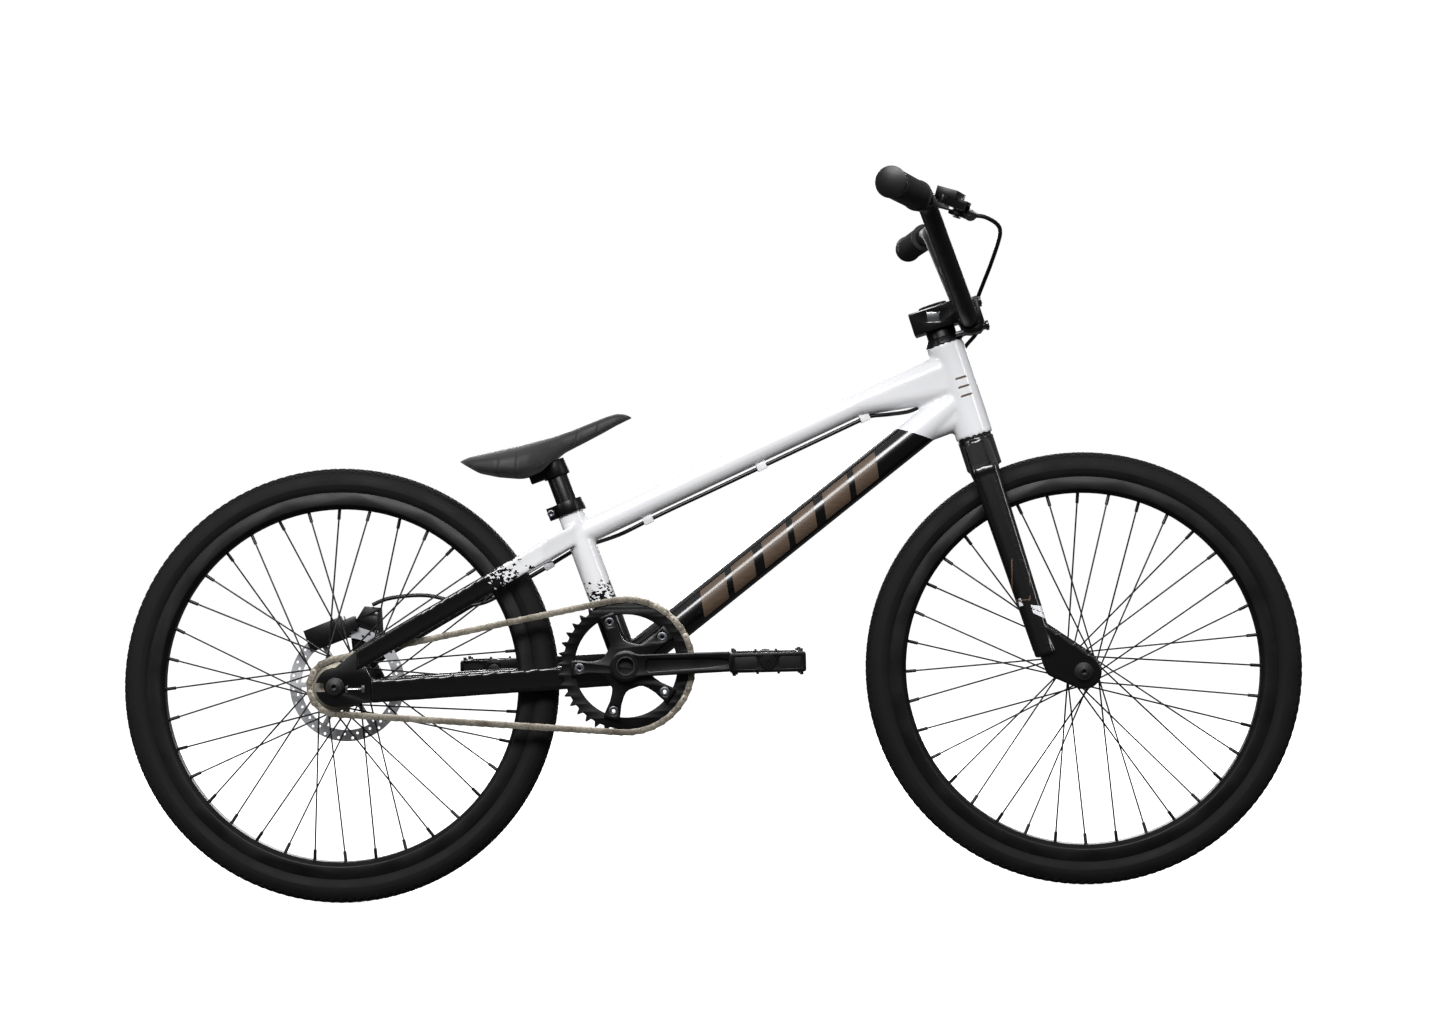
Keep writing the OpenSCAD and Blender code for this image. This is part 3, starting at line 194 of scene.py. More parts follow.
# %% Make the plain finishes
FINISH = {
    # anodised aluminium, blasted first: satin, with soft broad highlights
    "black_anodised": finish_of(
        "anodised_aluminium_satin", "#050506", "#0b0b0d", (0.28, 0.38), 0.5, 0.008, 0.0, Specular_IOR_Level=0.32
    ),
    # wet paint over steel tube: deep and glossy, with a slight orange peel
    "black_paint": finish_of(
        "baked_gloss_black_paint", "#050506", "#0b0b0d", (0.16, 0.24), 4.0, 0.02,
        Coat_Weight=0.6, Coat_Roughness=0.08
    ),
    # chromoly tube under semi-gloss powder coat: soft highlights and a fine pebble
    "black_steel": finish_of("powder_coated_steel", "#0b0a0a", "#171515", (0.38, 0.5), 1.2, 0.02),
    # zinc-plated steel: pale grey, slightly mottled
    "steel": finish_of("zinc_plated_steel", "#54555a", "#8b8d92", (0.28, 0.42), 0.8, 0.01, 1.0),
    # polished alloy: bright and clean
    "silver": finish_of("polished_aluminium", "#c4c6ca", "#f0f1f4", (0.12, 0.22), 0.8, 0.004, 1.0),
    # nickel-plated chain steel, greased: warm grey-brown
    "chain": finish_of("nickel_plated_chain_steel", "#6d665c", "#aca597", (0.3, 0.46), 1.5, 0.02, 0.55),
    # extruded nylon hose: smooth semi-gloss black
    "hose": finish_of("extruded_nylon_hose", "#0a0a0b", "#131315", (0.32, 0.42), 1.5, 0.01),
    # thermoplastic rubber grip: dull, dusty black
    "grip": finish_of("moulded_grip_rubber", "#121213", "#1e1e20", (0.62, 0.78), 0.6, 0.05),
    # vulcanised tyre rubber: dull, with a bloom that greys it
    "tyre": finish_of(
        "vulcanised_tyre_rubber", "#0d0c0c", "#171515", (0.62, 0.76), 0.9, 0.04, 0.0, Specular_IOR_Level=0.22
    ),
    # butyl inner tube, out of sight
    "tube": finish_of("butyl_tube_rubber", "#141414", "#1e1e1e", (0.55, 0.7), 1.0, 0.03),
    # leather-grained moulded saddle shell: matt with a soft sheen
    "saddle": finish_of(
        "grained_saddle_shell", "#19191b", "#262629", (0.5, 0.62), 1.1, 0.07,
        Sheen_Weight=0.25, Sheen_Roughness=0.5
    ),
    # sintered brake pad: dark bronze grit
    "pad": finish_of("sintered_brake_pad", "#2e2a26", "#4d453c", (0.7, 0.9), 0.6, 0.08, 0.3),
    # white injection-moulded nylon clip
    "white_clip": finish_of("moulded_white_nylon", "#dcdde0", "#f4f4f6", (0.3, 0.42), 1.5, 0.01),
    # glass-filled nylon pedal body: dark and slightly rough
    "pedal": finish_of(
        "glass_filled_nylon", "#090808", "#141211", (0.4, 0.52), 0.7, 0.04, 0.0, Specular_IOR_Level=0.35
    ),
    # satin black rim
    "rim": finish_of(
        "satin_black_rim", "#08080a", "#101012", (0.36, 0.48), 1.0, 0.006, 0.0, Specular_IOR_Level=0.3
    ),
    # stainless disc, ground with fine marks
    "rotor": finish_of("ground_stainless_disc", "#b9bbc0", "#e2e3e6", (0.3, 0.44), 0.7, 0.01, 0.5, (1, 1, 8)),
}
print("finishes", len(FINISH))

# %% [markdown]
# ## Paint with edges
# The frame is one weld-smooth skin in white, with the down tube and the stays black. The edges between
# colours could be cut into the mesh, but a value kept at each vertex, the distance to the edge, gives a
# cleaner line: the shader only asks if it is above zero. The broken shards where white turns to black come
# from cells of a Voronoi texture, each dropped in or out by its own random number. The tube's side carries
# plain slanted bars in brushed bronze.


# %% The two painted finishes
def edge_paint(name, white, black, bronze, splatter):
    """Gloss paint whose white, black and bronze areas follow values on the mesh."""
    made, tree, shader = material_of(name)
    shader.inputs["Coat Weight"].default_value = 0.55
    shader.inputs["Coat Roughness"].default_value = 0.07
    where = add(tree, "ShaderNodeTexCoord").outputs["Object"]
    peel = add(tree, "ShaderNodeTexNoise", {"Vector": where, "Scale": 220.0, "Detail": 2.0})
    broad = add(tree, "ShaderNodeTexNoise", {"Vector": where, "Scale": 9.0})
    bump = add(tree, "ShaderNodeBump", {"Height": peel.outputs["Fac"], "Distance": 0.000006, "Strength": 0.5})
    tree.links.new(bump.outputs["Normal"], shader.inputs["Normal"])
    black_edge = add(tree, "ShaderNodeAttribute", attribute_name="black_edge")
    bronze_edge = add(tree, "ShaderNodeAttribute", attribute_name="bronze_edge")
    is_black = calc(tree, "GREATER_THAN", black_edge.outputs["Fac"], 0.0)
    if splatter:
        share = add(tree, "ShaderNodeAttribute", attribute_name="black_share")
        tilted = {"Rotation": (0.3, 0.5, 0.2), "Scale": (1.0, 1.0, 1.7)}
        warp = add(tree, "ShaderNodeMapping", {"Vector": where, **tilted}).outputs["Vector"]
        cells = add(tree, "ShaderNodeTexVoronoi", {"Vector": warp, "Scale": 270.0}, distance="MANHATTAN")
        one = add(tree, "ShaderNodeSeparateColor", {"Color": cells.outputs["Color"]})
        gate = calc(tree, "ADD", calc(tree, "MULTIPLY", one.outputs[0], 0.96), 0.02)
        shard = calc(tree, "GREATER_THAN", share.outputs["Fac"], gate)
        is_black = calc(tree, "MAXIMUM", is_black, shard)
    is_bronze = calc(tree, "GREATER_THAN", bronze_edge.outputs["Fac"], 0.0)
    lengthwise = {"Rotation": (0, math.radians(37.4), 0), "Scale": (20, 300, 900)}
    brushed = add(tree, "ShaderNodeMapping", {"Vector": where, **lengthwise})
    brush = add(tree, "ShaderNodeTexNoise", {"Vector": brushed.outputs["Vector"], "Scale": 1.0, "Detail": 3.0})
    tints = []
    for (low, high), source in ((white, broad), (black, broad), (bronze, brush)):
        tints.append(mixed(tree, source.outputs["Fac"], light(low), light(high)))
    colour = mixed(tree, is_black, tints[0], tints[1])
    colour = mixed(tree, is_bronze, colour, tints[2])
    tree.links.new(colour, shader.inputs["Base Color"])
    rough = add(tree, "ShaderNodeMapRange", {"Value": is_bronze, "To Min": 0.22, "To Max": 0.42})
    tree.links.new(rough.outputs[0], shader.inputs["Roughness"])
    return made


FINISH["frame_paint"] = edge_paint(
    "gloss_white_and_black_paint", ("#e9eaed", "#f3f3f6"), ("#040405", "#08080a"), ("#41342a", "#6f5b4a"), True
)
FINISH["fork_paint"] = edge_paint(
    "gloss_black_fork_paint", ("#e6e7ec", "#f4f4f8"), ("#050506", "#0b0909"), ("#4d3423", "#75553d"), False
)
print("painted finishes", [m.name for m in bpy.data.materials if "paint" in m.name])

# %% [markdown]
# ## From solids to soft edges
# A real casting has no knife edges: a bead of light runs along each corner. Copies of the solids are
# merged, their flat triangles joined to whole faces, and a narrow bevel with smooth shading is put on.
# The alternative, a bevel in the shader, is cheaper but vanishes when the model is exported.


# %% Helpers for shapes
def merged(names):
    """One clean mesh from copies of solids."""
    bm = bmesh.new()
    for n in names:
        bm.from_mesh(solids[n].data)
    bmesh.ops.remove_doubles(bm, verts=bm.verts, dist=2e-6)
    return bm


def shaded(mesh, angle=32):
    """Smooth shading, broken where faces meet more sharply than the angle in degrees."""
    mesh.shade_smooth()
    mesh.set_sharp_from_angle(angle=math.radians(angle))
    return mesh


def mesh_of(bm, tidy_normals=False):
    """A mesh with what the bmesh holds, which is freed."""
    if tidy_normals:
        bmesh.ops.recalc_face_normals(bm, faces=bm.faces)
    mesh = bpy.data.meshes.new("shape")
    bm.to_mesh(mesh)
    bm.free()
    return mesh


def evaluated(helper):
    """What a helper object's modifiers or curve settings make, as a plain mesh. The helper is removed."""
    bpy.context.view_layer.update()
    mesh = bpy.data.meshes.new_from_object(helper.evaluated_get(bpy.context.evaluated_depsgraph_get()))
    bpy.data.objects.remove(helper)
    return mesh


def placed(name, mesh, finish, body, stands_for=()):
    """Puts a finished mesh in the scene, riding on a body of the bike."""
    mesh.name = name
    mesh.materials.clear()
    mesh.materials.append(FINISH[finish])
    made = linked(name, mesh)
    if body:
        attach(made, body)
    if stands_for:
        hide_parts(*stands_for)
    return made


def baked(bm, steps):
    """The mesh after the modifiers in steps, a list of (kind, settings)."""
    helper = linked("helper", mesh_of(bm))
    for kind, settings in steps:
        modifier = helper.modifiers.new(kind.lower(), kind)
        for key, value in settings.items():
            setattr(modifier, key, value)
    return evaluated(helper)


def softened(name, names, finish, body, bevel_mm):
    """A copy of solids with narrow rounded edges."""
    bm = merged(names)
    bmesh.ops.dissolve_limit(bm, angle_limit=math.radians(0.6), verts=bm.verts, edges=bm.edges)
    bevel = {"width": bevel_mm / 1000, "segments": 2, "limit_method": "ANGLE"}
    bevel |= {"angle_limit": math.radians(38), "use_clamp_overlap": True}
    mesh = baked(bm, [("BEVEL", bevel)])
    return placed(name, shaded(mesh), finish, body, names)


def welded(names, voxel_mm, rounds):
    """Solids melted into one skin with soft joints, as weld beads leave them.

    Each round draws every vertex towards its neighbours, then pushes it back a little further. That
    smooths the skin and keeps the tubes from shrinking.
    """
    draw_in, push_out = 0.6, -0.625
    mesh = baked(merged(names), [("REMESH", {"mode": "VOXEL", "voxel_size": voxel_mm / 1000})])
    edges = np.zeros(len(mesh.edges) * 2, int)
    mesh.edges.foreach_get("vertices", edges)
    a, b = edges.reshape(-1, 2).T
    points, count = corners(mesh), np.bincount(edges, minlength=len(mesh.vertices))[:, None]
    n = len(points)
    for k in range(rounds * 2):
        sums = [np.bincount(a, points[b, i], n) + np.bincount(b, points[a, i], n) for i in range(3)]
        mean = np.stack(sums, 1) / count
        points = points + (draw_in if k % 2 == 0 else push_out) * (mean - points)
    mesh.vertices.foreach_set("co", (points / 1000).ravel())
    return mesh


def keep_values(mesh, **values):
    """Stores one number per vertex under each name."""
    for key, numbers in values.items():
        mesh.attributes.new(key, "FLOAT", "POINT").data.foreach_set("value", np.asarray(numbers, np.float32))


def corners(mesh):
    """The mesh's vertices in millimetres."""
    co = np.zeros(len(mesh.vertices) * 3)
    mesh.vertices.foreach_get("co", co)
    return co.reshape(-1, 3) * 1000


def slanted_bar(s, e, s0, s1, half, slant):
    """Signed distance in millimetres into a bar from s0 to s1, half high, that leans by slant."""
    q = s - slant * e
    return np.minimum(np.minimum(q - s0, s1 - q), half - np.abs(e))


# %% [markdown]
# ## The frame
# Head tube, top tube, down tube, seat tube, bottom bracket shell and stays are welded, then painted as
# one. A voxel remesh of all of them melts the joints together, and a few rounds of smoothing leave the
# fillets that weld beads leave. The paint edges are then measured at each vertex.

# %% Weld and paint the frame
TUBES = ["head_tube", "top_tube", "down_tube", "seat_tube", "bb_shell", "chainstays", "seatstays"]
NOWHERE = -10  # a distance that is safely outside an area of paint
SMOOTH_ROUNDS = 26
skin = welded(TUBES, 2.0, SMOOTH_ROUNDS)
p = corners(skin)
HEAD_END = STEER_FOOT + 357 * STEER_UP
down_line = (HEAD_END - BB) / np.linalg.norm(HEAD_END - BB)
down_up = np.array([-down_line[2], 0, down_line[0]])
s, e = (p - BB) @ down_line, (p - BB) @ down_up
# black below a sloping line across the down tube's head end, and only on the down tube
black_edge = np.where(p[:, 0] > -88, 555.2 - 0.332 * (p[:, 0] - 226.8) - p[:, 2], NOWHERE)
black_edge = np.where(np.abs(e) > 34, NOWHERE, black_edge)
# the share of black shards grows down the seat tube and back along the seat stays
t_seat = (p - BB) @ SEAT_LINE
off_seat = np.abs((p - BB) @ np.array([SEAT_LINE[2], 0, -SEAT_LINE[0]]))
share = np.where((off_seat < 24) & (t_seat < 114), np.clip((112 - t_seat) / 40, 0, 1), 0)
share = np.where(np.hypot(p[:, 0] - BB[0], p[:, 2] - BB[2]) < 40, 1, share)
stay_s = (p - np.array([-158.4, 0, 437.4])) @ np.array([-0.873, 0, -0.488])
share = np.where(p[:, 0] < -165, np.clip((stay_s - 62) / 62, 0, 1), share)
share = np.where((p[:, 2] < 300) & (p[:, 0] < -112), 1, share)
BAR_START, BAR_STEP, BAR_WIDTHS = 116, 47, (38, 33, 38, 33, 38, 34)
starts = [BAR_START + BAR_STEP * k for k in range(len(BAR_WIDTHS))]
bars = [slanted_bar(s, e, start, start + w, 14.2, 0.55) for start, w in zip(starts, BAR_WIDTHS)]
v_head, u_head = (p - STEER_FOOT) @ STEER_UP, (p - STEER_FOOT) @ STEER_FORWARD
dashes = [slanted_bar(u_head, v_head - 356 - 11 * k, -4, 11, 1.3, 0.4) for k in range(3)]
bronze = np.maximum(np.maximum.reduce(bars), np.where(v_head > 300, np.maximum.reduce(dashes), -9))
bronze = np.where((p[:, 0] < 290) & (black_edge < 1), -9, bronze)
keep_values(skin, black_edge=black_edge, black_share=share, bronze_edge=bronze)
placed("painted_frame", shaded(skin, 60), "frame_paint", "frame", TUBES)
print("frame vertices", len(skin.vertices))

# %% [markdown]
# ## The fork
# The fork is cast and welded too, so it gets the same treatment with a finer mesh. Its decals are a thin
# outlined box, a small white patch and a white flash with a stripe in it, all plain shapes.

# %% Melt and paint the fork
fork = welded(["fork_legs"], 1.6, SMOOTH_ROUNDS)
q = unsteered(corners(fork))
u, v = q[:, 0], q[:, 2]
box_u = u - (v - 130) * 0.31
outline = np.minimum(np.minimum(box_u + 11, 12 - box_u), np.minimum(v - 100 + 0.3 * u, 152 - v - 0.3 * u))
outline = np.minimum(outline, 1.3 - outline)
flash = np.minimum(np.minimum(v - 70 + 0.95 * (u - 16), 93 - v - 0.45 * (u - 4)), u - 1)
patch = np.minimum(np.minimum(u + 12, -7.5 - u), np.minimum(v - 96, 105 - v))
flash = np.maximum(np.minimum(flash, 16), patch)
flash = np.where(np.abs(v - 88 + u - 4) < 0.9, -1, flash)
outline = np.where(np.abs(q[:, 1]) > 40, outline, -3)
keep_values(fork, black_edge=-np.clip(flash, -3, 3), bronze_edge=outline)
placed("painted_fork", shaded(fork, 60), "fork_paint", "steering", ["fork_legs"])
print("fork vertices", len(fork.vertices))

# %% [markdown]
# ## Cast, machined and turned parts
# Clamps, levers, hubs, bolts and rims keep their exact shapes and only get soft edges and a finish. A
# table holds them: the name, the solid it stands for, the finish, the body it rides on, and the width of
# its bevel in millimetres.

# %% Soften the small parts
# the parts that get soft edges
PARTS = [
    ("dropout_plates", "dropouts", "black_paint", "frame", 0.9),
    ("seat_collar", "seat_clamp", "black_anodised", "frame", 0.9),
    ("seat_collar_screw", "seat_clamp_bolt", "steel", "frame", 0.3),
    ("hose_clips", "hose_guides", "white_clip", "frame", 0.35),
    ("headset_rings", "headset_bearings", "black_anodised", "frame", 0.3),
    ("bottom_bracket_cups", "bb_cups", "black_anodised", "frame", 0.5),
    ("rear_axle_rod", "rear_axle", "black_steel", "frame", 0.4),
    ("chain_tugs", "chain_tensioners", "silver", "frame", 0.4),
    ("caliper_body", "brake_caliper", "black_anodised", "frame", 1.2),
    ("caliper_screws", "caliper_bolts", "steel", "frame", 0.3),
    ("seatpost_tube", "seatpost", "black_anodised", "seatpost", 0.4),
    ("saddle_socket", "saddle_base", "black_anodised", "seatpost", 0.8),
    ("steerer_tube", "fork_steerer", "black_steel", "steering", 0.4),
    ("front_axle_rod", "front_axle", "black_steel", "steering", 0.4),
    ("headset_top_cover", "headset_cover", "black_anodised", "steering", 0.6),
    ("stem_top_cap", "stem_cap", "black_anodised", "steering", 0.6),
    ("stem_screws", "stem_bolts", "steel", "steering", 0.3),
    ("bar_tube", "handlebar", "black_steel", "steering", 0.3),
    ("grip_plugs", "bar_end_plugs", "black_anodised", "steering", 0.9),
    ("lever_housing", "lever_clamp", "black_anodised", "steering", 1.3),
    ("lever_pin", "lever_pivot", "steel", "steering", 0.2),
    ("lever_blade", "brake_lever", "black_anodised", "lever", 1.1),
    ("front_hub_shell", "front_hub", "black_anodised", "front_wheel", 0.6),
    ("front_rim_hoop", "front_rim", "rim", "front_wheel", 0.7),
    ("rear_hub_shell", "rear_hub", "black_anodised", "rear_wheel", 0.6),
    ("rear_rim_hoop", "rear_rim", "rim", "rear_wheel", 0.7),
    ("rear_sprocket", "rear_cog", "chain", "cog", 0.25),
    ("crank_arm_far", "crank_arm_left", "black_anodised", "crank", 2.2),
    ("crank_axle_tube", "crank_spindle", "black_steel", "crank", 0.5),
    ("chainring_screws", "chainring_bolts", "steel", "crank", 0.4),
    ("pedal_axles", "pedal_spindles", "black_steel", "crank", 0.3),
    ("pedal_near", "pedal_right", "pedal", "pedal_right", 0.8),
    ("pedal_far", "pedal_left", "pedal", "pedal_left", 0.8),
]
for name, node, finish, body, bevel in PARTS:
    made = softened(name, [node], finish, body, bevel)
    print(name, len(made.data.polygons))

# %% [markdown]
# Spokes, the disc and its bolts, pads and inner tubes are already the right shape, and thin or hidden, so
# a bevel would not show. Their solids stay and only take a finish.

# %% Finish the solids that stay
KEPT = {"front_spokes": "black_steel", "rear_spokes": "black_steel", "front_tube": "tube", "rear_tube": "tube"}
KEPT |= {"brake_rotor": "rotor", "rotor_bolts": "steel", "brake_pad_inner": "pad", "brake_pad_outer": "pad"}
for name, finish in KEPT.items():
    mesh = solids[name].data
    mesh.materials.clear()
    mesh.materials.append(FINISH[finish])
print("kept solids done")


# %% [markdown]
# ## Tyres
# A tyre is a shape swept round an axle. Turning a profile with many points gives the sidewall lines and
# the bead, and the file tread on the crown is a small lug repeated round the wheel with Geometry Nodes.
# A sculpted or bump-mapped tread would be quicker, but its edge would stay smooth against the light.


# %% Helpers to turn a profile and to repeat a piece
def crosswise(axis):
    """The axis as a unit vector, and two more square to it."""
    axis = Vector(axis).normalized()
    across = axis.cross(Vector((1, 0, 0))).normalized()
    return axis, across, across.cross(axis)


def circle(x, z, radius, count):
    """Points of a circle, in millimetres."""
    turns = np.linspace(0, 2 * math.pi, count, endpoint=False)
    return [(x + radius * math.cos(a), z + radius * math.sin(a)) for a in turns]


def turned(profile, centre, axis, count):
    """Sweeps points (radius, along) round an axis. The profile is a closed loop."""
    axis, across, third = crosswise(axis)
    bm = bmesh.new()
    rings = []
    for k in range(count):
        a = 2 * math.pi * k / count
        out = across * math.cos(a) + third * math.sin(a)
        rings.append([bm.verts.new(Vector(centre) / 1000 + (out * r + axis * y) / 1000) for r, y in profile])
    for k in range(count):
        a, b = rings[k], rings[(k + 1) % count]
        for i in range(len(profile)):
            j = (i + 1) % len(profile)
            bm.faces.new((a[i], a[j], b[j], b[i]))
    return mesh_of(bm, tidy_normals=True)


def repeat_tree():
    """Geometry Nodes that put a piece on every point, turned by the point's own value, as real mesh."""
    tree = bpy.data.node_groups.new("repeat_on_points", "GeometryNodeTree")
    for name, kind in (("Points", "Geometry"), ("Piece", "Object"), ("Size", "Float"), ("Finish", "Material")):
        tree.interface.new_socket(name, in_out="INPUT", socket_type="NodeSocket" + kind)
    tree.interface.new_socket("Result", in_out="OUTPUT", socket_type="NodeSocketGeometry")
    start = add(tree, "NodeGroupInput")
    turn = add(tree, "GeometryNodeInputNamedAttribute", {"Name": "turn"}, data_type="FLOAT_VECTOR")
    piece = add(tree, "GeometryNodeObjectInfo", {"Object": start.outputs["Piece"]})
    what = {"Points": start.outputs["Points"], "Instance": piece.outputs["Geometry"]}
    how = {"Rotation": turn.outputs["Attribute"], "Scale": start.outputs["Size"]}
    put = add(tree, "GeometryNodeInstanceOnPoints", what | how)
    real = add(tree, "GeometryNodeRealizeInstances", {"Geometry": put.outputs["Instances"]})
    coat = {"Geometry": real.outputs["Geometry"], "Material": start.outputs["Finish"]}
    dressed = add(tree, "GeometryNodeSetMaterial", coat)
    add(tree, "NodeGroupOutput", {"Result": dressed.outputs["Geometry"]})
    return tree


REPEAT = repeat_tree()


def repeated(name, piece_mesh, points, turns, finish, body, stands_for=()):
    """Repeats a small mesh at points in millimetres, each with its own turn, as one plain mesh."""
    piece = linked("one_piece", piece_mesh)
    cloud = bpy.data.meshes.new("cloud")
    cloud.from_pydata([Vector(p) / 1000 for p in points], [], [])
    turn = cloud.attributes.new("turn", "FLOAT_VECTOR", "POINT")
    turn.data.foreach_set("vector", np.asarray(turns, np.float32).ravel())
    helper = linked("helper", cloud)
    nodes = helper.modifiers.new("repeat", "NODES")
    nodes.node_group = REPEAT
    given = {"Piece": piece, "Size": 1.0, "Finish": FINISH[finish]}
    for item in REPEAT.interface.items_tree:
        if item.in_out == "INPUT" and item.name in given:
            nodes[item.identifier] = given[item.name]
    mesh = evaluated(helper)
    bpy.data.objects.remove(piece)
    return placed(name, shaded(mesh, 40), finish, body, stands_for)


def block(x, y, z, bevel):
    """A small bevelled block of the given size in millimetres."""
    bm = bmesh.new()
    bmesh.ops.create_cube(bm, size=1)
    bmesh.ops.scale(bm, vec=(x / 1000, y / 1000, z / 1000), verts=bm.verts)
    bmesh.ops.bevel(bm, geom=bm.edges[:], offset=bevel / 1000, segments=1, affect="EDGES")
    return mesh_of(bm)


# %% Turn the tyres and lay the tread
WHEEL_R, TYRE_HALF, LUGS_ROUND = 260.5, 17.5, 150
TREAD_ROWS = ((-42, 1), (-25, -1), (-8, 1), (8, -1), (25, 1), (42, -1))  # degrees from the crown, and lean
MIDDLE_R, CASING, INSIDE = WHEEL_R - TYRE_HALF, 17.1, 13.9
wheels = {"front": (FRONT_AXLE, (0.11685, 0.99255, 0.03461)), "rear": (REAR_AXLE, (0, 1, 0))}
outer = []
for k in range(49):
    a = math.radians(-128 + 256 * k / 48)
    off = abs(math.degrees(a))
    r = CASING + 0.45 * math.exp(-(((off - 96) / 3.2) ** 2)) + 0.5 * math.exp(-(((off - 52) / 2.6) ** 2))
    r += 0.35 if off < 50 else 0
    outer.append((MIDDLE_R + r * math.cos(a) - 0.3, r * math.sin(a)))
outer = [(227.2, -11.1), (230.6, -11.6)] + outer[1:-1] + [(230.6, 11.6), (227.2, 11.1)]
back_round = [math.radians(-122 + 244 * k / 16) for k in range(16, -1, -1)]
inner = [(MIDDLE_R + INSIDE * math.cos(a) - 0.4, INSIDE * math.sin(a)) for a in back_round]
for which, (centre, axis) in wheels.items():
    casing = shaded(turned(outer + inner, centre, axis, 180), 50)
    placed(which + "_tyre_casing", casing, "tyre", which + "_wheel", [which + "_tyre"])
    axis, across, third = crosswise(axis)
    points, turns = [], []
    for k in range(LUGS_ROUND):
        for row, tilt in TREAD_ROWS:
            a, b = 2 * math.pi * (k + (0.5 if tilt > 0 else 0)) / LUGS_ROUND, math.radians(row)
            out = across * math.cos(a) + third * math.sin(a)
            normal = (out * math.cos(b) + axis * math.sin(b)).normalized()
            along = axis.cross(out).normalized()
            along.rotate(Matrix.Rotation(0.5 * tilt, 3, normal))
            from_axle = MIDDLE_R + CASING * math.cos(b)
            points.append(Vector(centre) + out * from_axle + axis * CASING * math.sin(b))
            turns.append(Matrix((along, normal.cross(along), normal)).transposed().to_euler())
    lug = block(6.2, 2.1, 1.3, 0.3)
    repeated(which + "_tread", lug, points, turns, "tyre", which + "_wheel")
    print(which, "tread lugs", len(points))


# %% [markdown]
# ## The chain
# A roller chain is two links, one wide and one narrow, repeated by turns. Each plate is waisted like a
# figure eight. The links are put on the midpoints between pins, on the same loop that the solid chain has.


# %% Helper for flat plates
def plate(loops, thick, bevel):
    """A flat plate with rounded edges, in the XZ plane, from loops in millimetres. The first is outside."""
    curve = bpy.data.curves.new("plate", "CURVE")
    curve.dimensions, curve.fill_mode = "2D", "BOTH"
    curve.extrude, curve.offset = (thick / 2 - bevel) / 1000, -bevel / 1000
    curve.bevel_depth, curve.bevel_resolution = bevel / 1000, 1
    for loop in loops:
        line = curve.splines.new("POLY")
        line.points.add(len(loop) - 1)
        for point, (x, z) in zip(line.points, loop):
            point.co = (x / 1000, z / 1000, 0, 1)
        line.use_cyclic_u = True
    mesh = evaluated(linked("plate", curve))
    mesh.transform(Matrix.Rotation(math.radians(90), 4, "X"))
    bm = bmesh.new()
    bm.from_mesh(mesh)
    bmesh.ops.remove_doubles(bm, verts=bm.verts, dist=1e-6)
    return mesh_of(bm, tidy_normals=True)


def joined(meshes):
    """Several (mesh, matrix) as one mesh."""
    bm = bmesh.new()
    for mesh, matrix in meshes:
        copy = mesh.copy()
        copy.transform(matrix)
        bm.from_mesh(copy)
    return mesh_of(bm)


def at(x, y, z):
    """A move in millimetres."""
    return Matrix.Translation((x / 1000, y / 1000, z / 1000))


# %% Make the two links and lay the chain
LINKS, PITCH, TEETH, COG_TEETH, LINE_Y = 82, 12.7, 39, 16, -45.0
ring_r, cog_r = (PITCH / 2 / math.sin(math.pi / n) for n in (TEETH, COG_TEETH))
gap = math.dist(BB, REAR_AXLE)
tilt = math.atan2(BB[2] - REAR_AXLE[2], BB[0] - REAR_AXLE[0])
wrap = math.pi / 2 + math.asin((ring_r - cog_r) / gap)
free = gap * math.sin(wrap) / PITCH
ring_run, cog_run = wrap * TEETH / math.pi, (math.pi - wrap) * COG_TEETH / math.pi
loop_run = ring_run + cog_run + 2 * free


def on_circle(c, r, a):
    return np.array([c[0] + r * math.cos(a), c[2] + r * math.sin(a)])


def chain_pin(k):
    """The k-th pin of the chain, as x and z in millimetres."""
    at_run = (k % LINKS) * loop_run / LINKS
    high_ring, low_ring = on_circle(BB, ring_r, tilt + wrap), on_circle(BB, ring_r, tilt - wrap)
    high_cog, low_cog = on_circle(REAR_AXLE, cog_r, tilt + wrap), on_circle(REAR_AXLE, cog_r, tilt - wrap)
    if at_run <= ring_run:
        return on_circle(BB, ring_r, tilt - wrap + at_run * 2 * math.pi / TEETH)
    if at_run <= ring_run + free:
        return high_ring + (high_cog - high_ring) * (at_run - ring_run) / free
    if at_run <= ring_run + free + cog_run:
        return on_circle(REAR_AXLE, cog_r, tilt + wrap + (at_run - ring_run - free) * 2 * math.pi / COG_TEETH)
    return low_cog + (low_ring - low_cog) * (at_run - ring_run - free - cog_run) / free


LINK_END, HALF = 4.15, PITCH / 2
waist = []
for k in range(28):
    a = 2 * math.pi * k / 28
    x = HALF * (1 if math.cos(a) > 0 else -1) + LINK_END * math.cos(a)
    z = LINK_END * math.sin(a) * (0.82 if abs(math.cos(a)) < 0.2 else 1)
    waist.append((x, z))
thin = plate([waist], 1.0, 0.2)
pin = turned([(1.9, -3.9), (1.9, 3.9), (0.01, 4.1), (0.01, -4.1)], (0, 0, 0), (0, 1, 0), 10)
roller = turned([(3.7, -1.6), (3.7, 1.6), (0.01, 1.6), (0.01, -1.6)], (0, 0, 0), (0, 1, 0), 12)


def link_of(plate_y, round_piece):
    """Two plates and two pins or rollers."""
    ends = [(round_piece, at(x, 0, 0)) for x in (HALF, -HALF)]
    return joined([(thin, at(0, plate_y, 0)), (thin, at(0, -plate_y, 0))] + ends)


